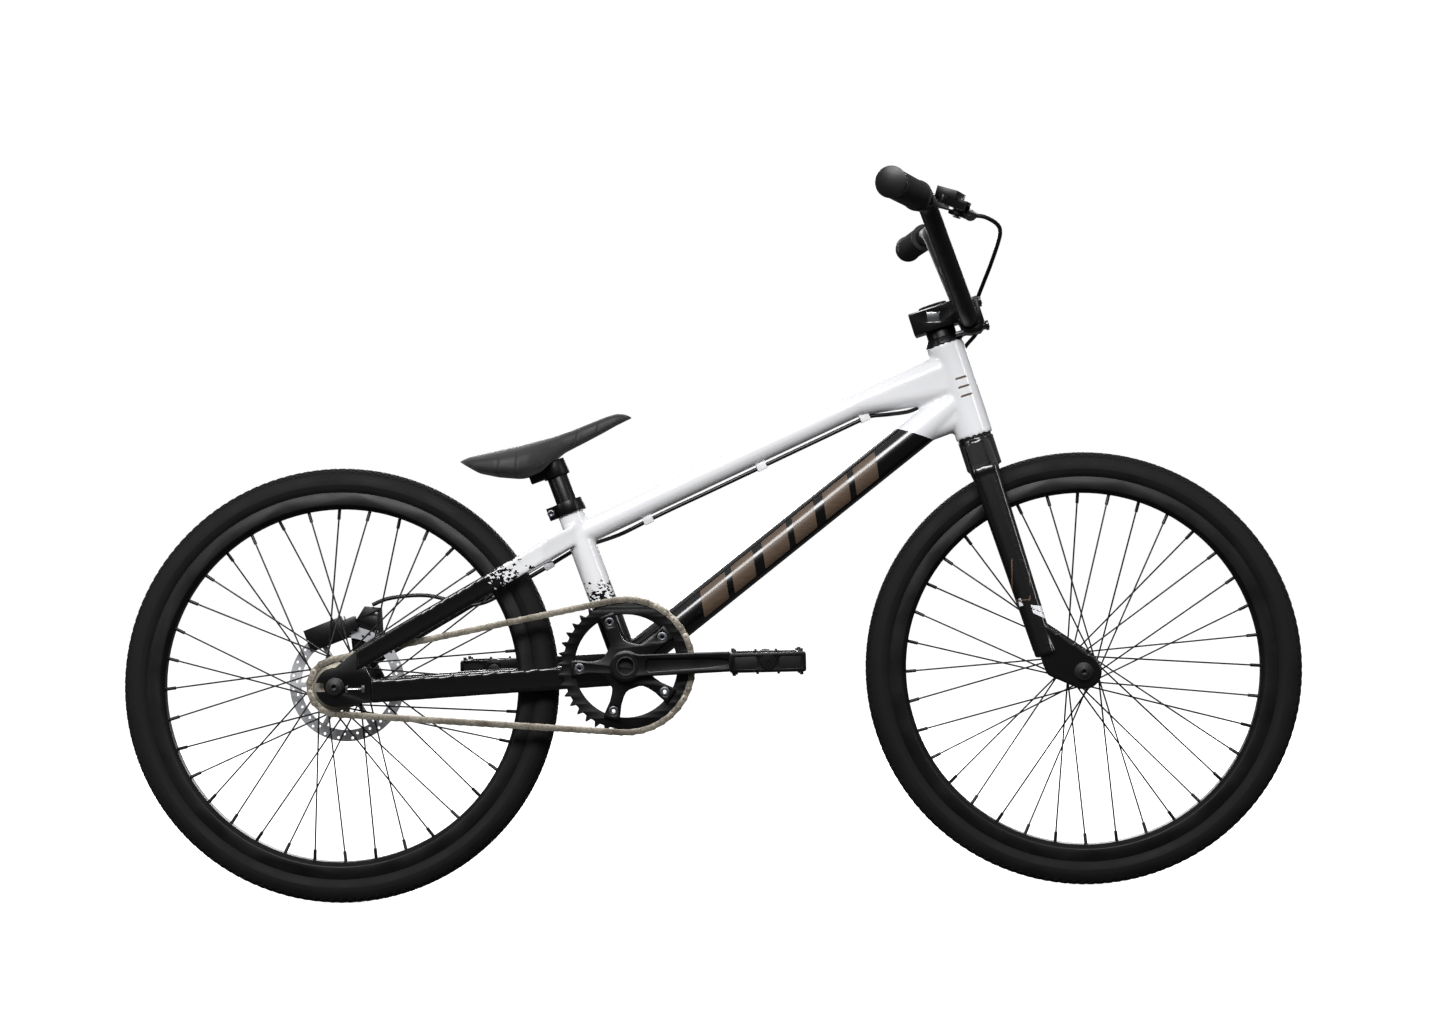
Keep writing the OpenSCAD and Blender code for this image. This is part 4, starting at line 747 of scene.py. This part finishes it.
wide, narrow = link_of(3.2, pin), link_of(2.1, roller)
for which, link, first in (("outer_links", wide, 0), ("inner_links", narrow, 1)):
    points, turns = [], []
    for k in range(first, LINKS, 2):
        a, b = chain_pin(k), chain_pin(k + 1)
        points.append(((a[0] + b[0]) / 2, LINE_Y, (a[1] + b[1]) / 2))
        turns.append((0, -math.atan2(b[1] - a[1], b[0] - a[0]), 0))
    repeated("chain_" + which, link, points, turns, "chain", "frame", stands_for=["chain"])
    print(which, len(points))

# %% [markdown]
# ## Chainring and crank
# The ring is a thin toothed band, and a five-armed spider carries it. Both are flat shapes with rounded
# edges, so they are cut from outlines. The near arm is two plates: a whole one behind, and one with a long
# window in front, so that the arm shows its forged pocket. A name that stood in the pocket is left out.

# %% Cut the ring and the spider
# one tooth as heights from the pitch circle and shares of a tooth's turn
TOOTH = ((-4.0, 0), (-3.6, 0.22), (-0.6, 0.34), (2.2, 0.45), (2.2, 0.55), (-0.6, 0.66), (-3.6, 0.78))
phase = tilt - wrap
teeth = []
for k in range(TEETH):
    for rise, share_of in TOOTH:
        a = phase + (k + share_of) * 2 * math.pi / TEETH
        teeth.append(((ring_r + rise) * math.cos(a), (ring_r + rise) * math.sin(a)))
ring = plate([teeth, circle(0, 0, 61.0, 120)], 3.0, 0.35)
CRANK_TURN = math.radians(1.4)
BOLT_CIRCLE_R, BOLT_HOLE_R = 55, 5.0
ARM_EDGE = [(26, 11.5), (30, 8.6), (36, 7.4), (46, 7.2), (54, 8.6), (62, 9.6), (65, 9)]
arm = [(r, -h) for r, h in ARM_EDGE] + ARM_EDGE[::-1]
star, holes = [], []
for k in range(5):
    a = CRANK_TURN + math.radians(36 + 72 * k)
    x_dir, z_dir = np.array([math.cos(a), math.sin(a)]), np.array([-math.sin(a), math.cos(a)])
    star += [tuple(x_dir * r + z_dir * h) for r, h in arm]
    holes.append(circle(BOLT_CIRCLE_R * math.cos(a), BOLT_CIRCLE_R * math.sin(a), BOLT_HOLE_R, 24))
spider_mesh = plate([star] + holes, 6.4, 1.4)
spider_mesh.transform(at(BB[0], -49.9, BB[2]))
ring.transform(at(BB[0], LINE_Y, BB[2]))
placed("toothed_ring", shaded(ring), "black_anodised", "crank", ["chainring"])
print("ring faces", len(ring.polygons), "spider faces", len(spider_mesh.polygons))

# %% Forge the near crank arm
CRANK_LENGTH = 165.0


def arm_outline(end_a, end_b, half_a, half_b, x0, x1, steps=14):
    """A long loop with round ends of radius end_a and end_b, half_a and half_b high between."""
    round_a = np.linspace(math.radians(50), math.radians(310), steps)
    round_b = np.linspace(math.radians(-125), math.radians(125), steps)
    loop = [(x0 + end_a * math.cos(b), end_a * math.sin(b)) for b in round_a]
    loop += [(x0 + end_a * 0.9, -half_a), (x1 - end_b * 0.9, -half_b)]
    loop += [(x1 + end_b * math.cos(b), end_b * math.sin(b)) for b in round_b]
    return loop + [(x1 - end_b * 0.9, half_b), (x0 + end_a * 0.9, half_a)]


whole = arm_outline(19, 13.2, 13.2, 11.6, 0, CRANK_LENGTH)
pocket = [(27, -7.5), (24, -4.5), (24, 4.5), (27, 7.5), (100, 5.4), (128, 2.2), (128, -2.2), (100, -5.4)]
hub_hole, eye_hole = circle(0, 0, 10.8, 40), circle(CRANK_LENGTH, 0, 7.2, 28)
back = plate([whole, hub_hole, eye_hole], 9.0, 1.2)
front = plate([whole, hub_hole, eye_hole, pocket], 4.4, 1.3)
arm = joined([(back, at(0, -54.0, 0)), (front, at(0, -60.2, 0))])
FLARE = 0.0085  # metres that the pedal's end stands further out than the hub
for vertex in arm.vertices:
    vertex.co.y -= FLARE * max(0.0, vertex.co.x * 1000) / CRANK_LENGTH
lip_side = [(15.6, -62.0), (15.2, -63.6), (12.2, -63.6), (11.2, -62.0), (11.2, -56.0), (15.6, -56.0)]
lip = turned(lip_side, (0, 0, 0), (0, 1, 0), 56)
turn = Matrix.Rotation(-CRANK_TURN, 4, "Y")
near_arm = joined([(arm, at(*BB) @ turn), (lip, at(*BB) @ turn), (spider_mesh, Matrix.Identity(4))])
placed("crank_arm_near", shaded(near_arm), "black_anodised", "crank", ["crank_arm_right"])
print("near arm faces", len(near_arm.polygons))

# %% [markdown]
# ## The stem
# The stem is one forged block: a clamp round the steerer at the back and a clamp round the bar in front.
# Its side is an outline again, this time thick, with the bar's hole through it. A bright plate sits in the
# small square window on each side.

# %% Cut the stem
forward_7, left_7 = steered((1, 0, 0)) - STEER_FOOT, steered((0, 1, 0)) - STEER_FOOT
turned_axes = Matrix((forward_7, left_7, STEER_UP)).transposed().to_4x4()
STEER_FRAME = Matrix.Translation(Vector(STEER_FOOT) / 1000) @ turned_axes
block_side = [(-31, 470), (-31.5, 466), (-31.5, 446), (-30.5, 442.6), (23.6, 442.2), (24.5, 433)]
block_side += [(28, 427), (34, 424.6), (46, 423.6), (50.5, 427), (52.5, 441), (51.5, 453)]
block_side += [(47, 459.5), (38, 463), (30, 467), (22, 470)]
bar_hole = circle(36, 443.5, 11.3, 40)
square = [(-9.5, 466.5), (5.5, 462.5), (2.6, 450), (-12.2, 454)]
core = plate([block_side, bar_hole], 41, 1.6)
cheek = plate([block_side, bar_hole, square], 4.4, 1.3)
stem_mesh = joined([(core, at(0, 0, 0)), (cheek, at(0, 22.0, 0)), (cheek, at(0, -22.0, 0))])
stem_mesh.transform(STEER_FRAME)
placed("stem_block", shaded(stem_mesh), "black_paint", "steering", ["stem_body"])
window_mesh = plate([[(x * 0.94 - 0.2, z) for x, z in square]], 0.8, 0.2)
windows = joined([(window_mesh, at(0, 20.8, 0)), (window_mesh, at(0, -20.8, 0))])
windows.transform(STEER_FRAME)
placed("stem_window_plates", shaded(windows), "silver", "steering")
print("stem faces", len(stem_mesh.polygons))

# %% [markdown]
# ## Pedal ends
# Seen from the side, a platform pedal is its end cage: a rim round two open windows, with the round cap of
# the axle's bearing between them. The cage is cut from an outline with its windows left out, and the cap is
# turned. Four pins along each edge are one small screw repeated.

# %% Cages, caps and pins of the pedals
screw = turned([(1.5, -1.3), (1.5, 1.1), (1.1, 1.5), (0.01, 1.5), (0.01, -1.3)], (0, 0, 0), (0, 0, 1), 8)
rim_line = [(-43.2, -9), (-41, -11.2), (41, -11.2), (43.2, -9), (43.2, 9), (41, 11.2), (-41, 11.2), (-43.2, 9)]
cage_hole = [(-38, -7), (-38, 7), (-15, 7.6), (-12.5, 4), (-12.5, -4), (-15, -7.6)]
cap_side = [(9.2, -1.6), (9.2, 1.2), (8.4, 2.0), (2.4, 2.2), (2.0, 1.2), (0.01, 1.2), (0.01, -1.6)]
cage = plate([rim_line, cage_hole, [(-x, z) for x, z in cage_hole]], 3.0, 0.5)
PEDALS = (("near", "pedal_right", 61.97, 281.23, -1), ("far", "pedal_left", -267.93, 273.17, 1))
for which, body, cx, cz, sign in PEDALS:
    cap = turned(cap_side, (0, 0, 0), (0, sign, 0), 40)
    cages = [(cage, at(cx, sign * y, cz)) for y in (167.6, 77.5)]
    ends = joined(cages + [(cap, at(cx, sign * 168.2, cz))])
    placed("pedal_cage_" + which, shaded(ends), "black_anodised", body)
    grid = [(x, y, z) for x in (-36, -12, 12, 36) for y in (84, 160) for z in (-12.0, 12.0)]
    spots = [(cx + x, sign * y, cz + z) for x, y, z in grid]
    repeated("pedal_pins_" + which, screw, spots, [(0, 0, 0)] * len(spots), "steel", body)
    print(which, "pins", len(spots))

# %% [markdown]
# ## The saddle
# The saddle is one moulded shell: broad at the tail, waisted at the thigh and thin at the nose. It is
# lofted from closed sections whose top and bottom lines are its own side view, because a cloth pillow
# would be too soft for it. Grooves are pressed in by moving vertices inwards along narrow bands.

# %% Loft the saddle
TOP = [
    (-297.6, 526.4), (-290, 529.8), (-282.9, 532.1), (-253.9, 537.8), (-222.1, 544.4), (-187.4, 553.1),
    (-161.3, 561.8), (-138.2, 570.5), (-120.8, 577.1), (-109.2, 580.2), (-97.6, 579.4), (-91.6, 575.8),
]
LOW = [
    (-297.6, 525.0), (-290, 519.8), (-277.1, 512.3), (-253.9, 507.1), (-227.9, 504.5), (-213.4, 506.5),
    (-198.9, 512.9), (-187.4, 523.0), (-172.9, 534.6), (-149.7, 545.7), (-126.6, 557.2), (-109.2, 566.5),
    (-97.6, 571.9), (-91.6, 574.4),
]
WIDE = [
    (-297.6, 14), (-294, 27), (-288, 37), (-277, 45), (-254, 53), (-230, 54), (-213, 50), (-199, 42),
    (-187, 33), (-173, 25), (-150, 18.5), (-126, 15.5), (-109, 13.5), (-97.6, 9.5), (-91.6, 2.5),
]


def smooth_line(points, x):
    """A smooth curve through points, read at x."""
    px, pz = np.array(points).T
    fine = np.linspace(px[0], px[-1], 400)
    line = np.interp(fine, px, pz)
    kernel = np.hanning(23)
    padded_line = np.concatenate([2 * line[0] - line[11:0:-1], line, 2 * line[-1] - line[-2:-13:-1]])
    return np.interp(x, fine, np.convolve(padded_line, kernel / kernel.sum(), "valid"))


stations = np.linspace(-297.6, -91.6, 300)
high, low, half = (smooth_line(line, stations) for line in (TOP, LOW, WIDE))
high = np.maximum(high, low + 0.6)
ROUND = 64  # points round each section
GROOVES = ((-249, 0.05), (-227, 0.08), (-160, 0.12), (-138, 0.16))  # where each crosses the side, and its lean
SEAM_ANGLE = 0.62
bm = bmesh.new()
rows = []
for x, h, l, w in zip(stations, high, low, half):
    row = []
    for k in range(ROUND):
        a = 2 * math.pi * k / ROUND
        ca, sa = math.cos(a), math.sin(a)
        y = w * math.copysign(abs(ca) ** 0.72, ca)
        mid = (h + l) / 2 + (l - h) * 0.18
        z = mid + (h - mid) * abs(sa) ** 0.8 if sa > 0 else mid - (mid - l) * abs(sa) ** 0.55
        if sa > 0.5 and x < -150:
            z -= 1.8 * math.exp(-(y / 7.5) ** 2) * min(1, (-150 - x) / 40)
        press = 0.0
        if abs(y) > 0.35 * w:
            for line_x, lean in GROOVES:
                press += math.exp(-((x - line_x - lean * (z - 525)) ** 2))
        if x < -186:
            for seam in (math.pi - SEAM_ANGLE, SEAM_ANGLE):
                press += 0.8 * math.exp(-(((a - seam) / 0.05) ** 2))
        pressed = (x, y * (1 - press / max(w, 6)), z - press * 0.3 * (1 if sa > 0 else -1))
        row.append(bm.verts.new(Vector(pressed) / 1000))
    rows.append(row)
for a, b in zip(rows, rows[1:]):
    for i in range(ROUND):
        j = (i + 1) % ROUND
        bm.faces.new((a[i], a[j], b[j], b[i]))
bm.faces.new(rows[0])
bm.faces.new(list(reversed(rows[-1])))
saddle_mesh = mesh_of(bm, tidy_normals=True)
saddle = placed("saddle_shell", shaded(saddle_mesh, 70), "saddle", "seatpost", ["saddle_pad"])
print("saddle faces", len(saddle_mesh.polygons))

# %% [markdown]
# ## Grips
# The grips are turned rubber sleeves with a soft flange at the end. Fine rings round them are what the
# fingers feel, and they are one ring repeated along the sleeve.

# %% Grips and their rings
GRIP_LINE = np.array([0.1837, 0.9817, -0.0488])
RING_R, RING_HIGH, RING_WIDE = 15.9, 0.55, 0.9
six = np.linspace(0, 2 * math.pi, 6, endpoint=False)
ring_side = [(RING_R + RING_HIGH * math.cos(b), RING_WIDE * math.sin(b)) for b in six]
ring_piece = turned(ring_side, (0, 0, 0), (0, 0, 1), 36)
for which, mirror, node in (("near", 1, "grip_right"), ("far", -1, "grip_left")):
    end = np.array([-4.0, -345.0 * mirror, 584.5])
    inward = GRIP_LINE * np.array([1, mirror, 1])
    softened("grip_sleeve_" + which, [node], "grip", "steering", 0.8)
    points = [steered(end + inward * t) for t in np.arange(16, 124, 3.6)]
    direction = Vector(steered(end + inward) - steered(end)).normalized()
    turns = [direction.to_track_quat("Z", "Y").to_euler()] * len(points)
    repeated("grip_rings_" + which, ring_piece, points, turns, "grip", "steering")
    print(which, "grip rings", len(points))

# %% [markdown]
# ## The brake hose
# One hose runs from the lever, round in front of the bar, past the head tube and under the top tube to the
# caliper. It is a single swept tube whose upper points are laid out along the turned bar and whose lower
# points are laid out along the frame.

# %% Sweep the hose
HOSE_R = 2.5
hose_front = [
    (74.7, -131.0, 547.5), (76.2, -123.2, 547.1), (88, -112, 543), (99, -95, 534), (102, -80, 526),
    (97, -58, 516), (80.3, -15, 495.2), (66.5, 12, 479.5), (56.1, 30, 466.7), (50.5, 38, 451),
    (50, 41, 437), (40, 42, 426), (24, 42, 416), (8, 40, 402),
]
hose_rear = [
    (290, 36, 618), (274, 29, 593), (250, 16, 578), (222, 4, 573.0), (198, 0.2, 570.9), (184, 0, 565.6),
    (130, 0, 541.5), (65, 0, 512.5), (0, 0, 483.5), (-40, 0, 466), (-74, 0, 450.5), (-105, 5, 436),
    (-130, 20, 428), (-158, 25, 420), (-180, 28, 408.5), (-196, 29, 399), (-212, 30, 390),
    (-240, 34, 374.5), (-262, 35, 362), (-280, 34, 355), (-300, 33, 354), (-345, 36, 366),
    (-390, 38, 364), (-413, 39, 356),
]
route = [np.array(steered(q)) for q in hose_front] + [np.array(q, float) for q in hose_rear]


def through(points, steps):
    """A smooth line through points."""
    line = []
    last = len(points) - 1
    for i in range(last):
        a, b, c, d = points[max(0, i - 1)], points[i], points[i + 1], points[min(last, i + 2)]
        for k in range(steps):
            t = k / steps
            bend = (2 * a - 5 * b + 4 * c - d) * t * t + (3 * b - a - 3 * c + d) * t**3
            line.append(0.5 * (2 * b + (c - a) * t + bend))
    return np.array(line + [points[-1]])


def swept(line, radius, count):
    """A tube with closed ends round a line, in millimetres."""
    bm = bmesh.new()
    ahead = np.gradient(line, axis=0)
    ahead /= np.linalg.norm(ahead, axis=1)[:, None]
    up = Vector((0, 0, 1)).cross(Vector(ahead[0])).normalized()
    turns = np.linspace(0, 2 * math.pi, count, endpoint=False)
    rings = []
    for point, t in zip(line, ahead):
        t = Vector(t)
        up = (up - t * up.dot(t)).normalized()
        other = t.cross(up)
        out = [(up * math.cos(b) + other * math.sin(b)) * radius for b in turns]
        rings.append([bm.verts.new((Vector(point) + way) / 1000) for way in out])
    for a, b in zip(rings, rings[1:]):
        for i in range(count):
            j = (i + 1) % count
            bm.faces.new((a[i], a[j], b[j], b[i]))
    bm.faces.new(rings[0])
    bm.faces.new(rings[-1])
    return mesh_of(bm, tidy_normals=True)


hose_line = through(route, 5)
hose_mesh = shaded(swept(hose_line, HOSE_R, 14), 60)
hose = placed("brake_hose", hose_mesh, "hose", None, ["brake_hose_front", "brake_hose_rear"])
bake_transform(hose)
hose_length = float(np.linalg.norm(np.diff(hose_line, axis=0), axis=1).sum())
print("hose length mm", round(hose_length))

# %% [markdown]
# ## Floor and light
# A plain pale floor and a pale room leave the white frame readable by its shading alone. A large soft
# light stands above the camera, and two long ones at the sides draw the bright lines along the black tubes.
# A faint one above and a fill light behind keep the far side readable too.

# %% Stage and light
bpy.ops.mesh.primitive_plane_add(size=60, location=(0, 0, -0.0005))
floor = bpy.context.object
floor.name = "studio_floor"
paper, tree, shader = material_of("matt_white_paper")
place = add(tree, "ShaderNodeTexCoord")
fibre = add(tree, "ShaderNodeTexNoise", {"Vector": place.outputs["Object"], "Scale": 400.0})
tone = add(tree, "ShaderNodeMapRange", {"Value": fibre.outputs["Fac"], "To Min": 0.86, "To Max": 0.9})
tree.links.new(tone.outputs[0], shader.inputs["Base Color"])
shader.inputs["Roughness"].default_value = 0.95
shader.inputs["Specular IOR Level"].default_value = 0.0
shader.inputs["Emission Color"].default_value = (1, 1, 1, 1)
shader.inputs["Emission Strength"].default_value = 0.8
floor.data.materials.append(paper)

room = bpy.data.worlds.new("pale_room")
bpy.context.scene.world = room
room.use_nodes = True
room.node_tree.nodes["Background"].inputs["Color"].default_value = (1, 1, 1, 1)
seen = add(room.node_tree, "ShaderNodeLightPath")
way = add(room.node_tree, "ShaderNodeTexCoord")
height_of = add(room.node_tree, "ShaderNodeSeparateXYZ", {"Vector": way.outputs["Generated"]})
brighter_up = {"From Min": 0.05, "From Max": 0.9, "To Min": 0.06, "To Max": 0.5}
glow = add(room.node_tree, "ShaderNodeMapRange", {"Value": height_of.outputs["Z"], **brighter_up})
white_if_seen = calc(room.node_tree, "MAXIMUM", glow.outputs[0], seen.outputs["Is Camera Ray"])
room.node_tree.links.new(white_if_seen, room.node_tree.nodes["Background"].inputs["Strength"])
floor.visible_diffuse = floor.visible_glossy = False
# name, place and aim in metres, power in watts, size in metres
LAMPS = (
    ("key", (-0.5, -3.2, 2.3), (0, 0, 0.4), 125, (2.4, 0.9)),
    ("left_strip", (-2.6, -1.2, 1.2), (0, 0, 0.4), 14, (0.25, 1.6)),
    ("right_strip", (2.6, -1.4, 1.4), (0, 0, 0.4), 14, (0.25, 1.6)),
    ("rim_light", (0, 2.0, 2.6), (0, 0, 0.5), 9, (2.4, 0.5)),
    ("far_side_fill", (0.3, 3.2, 1.5), (0, 0, 0.4), 70, (2.4, 0.9)),
)
for name, place_at, aim, power, size in LAMPS:
    lamp = bpy.data.lights.new(name, "AREA")
    lamp.energy, lamp.shape, lamp.size, lamp.size_y = power, "RECTANGLE", *size
    lit = linked(name, lamp)
    lit.location = place_at
    lit.rotation_euler = (Vector(aim) - Vector(place_at)).to_track_quat("-Z", "Y").to_euler()
bpy.context.scene.view_settings.view_transform = "Standard"
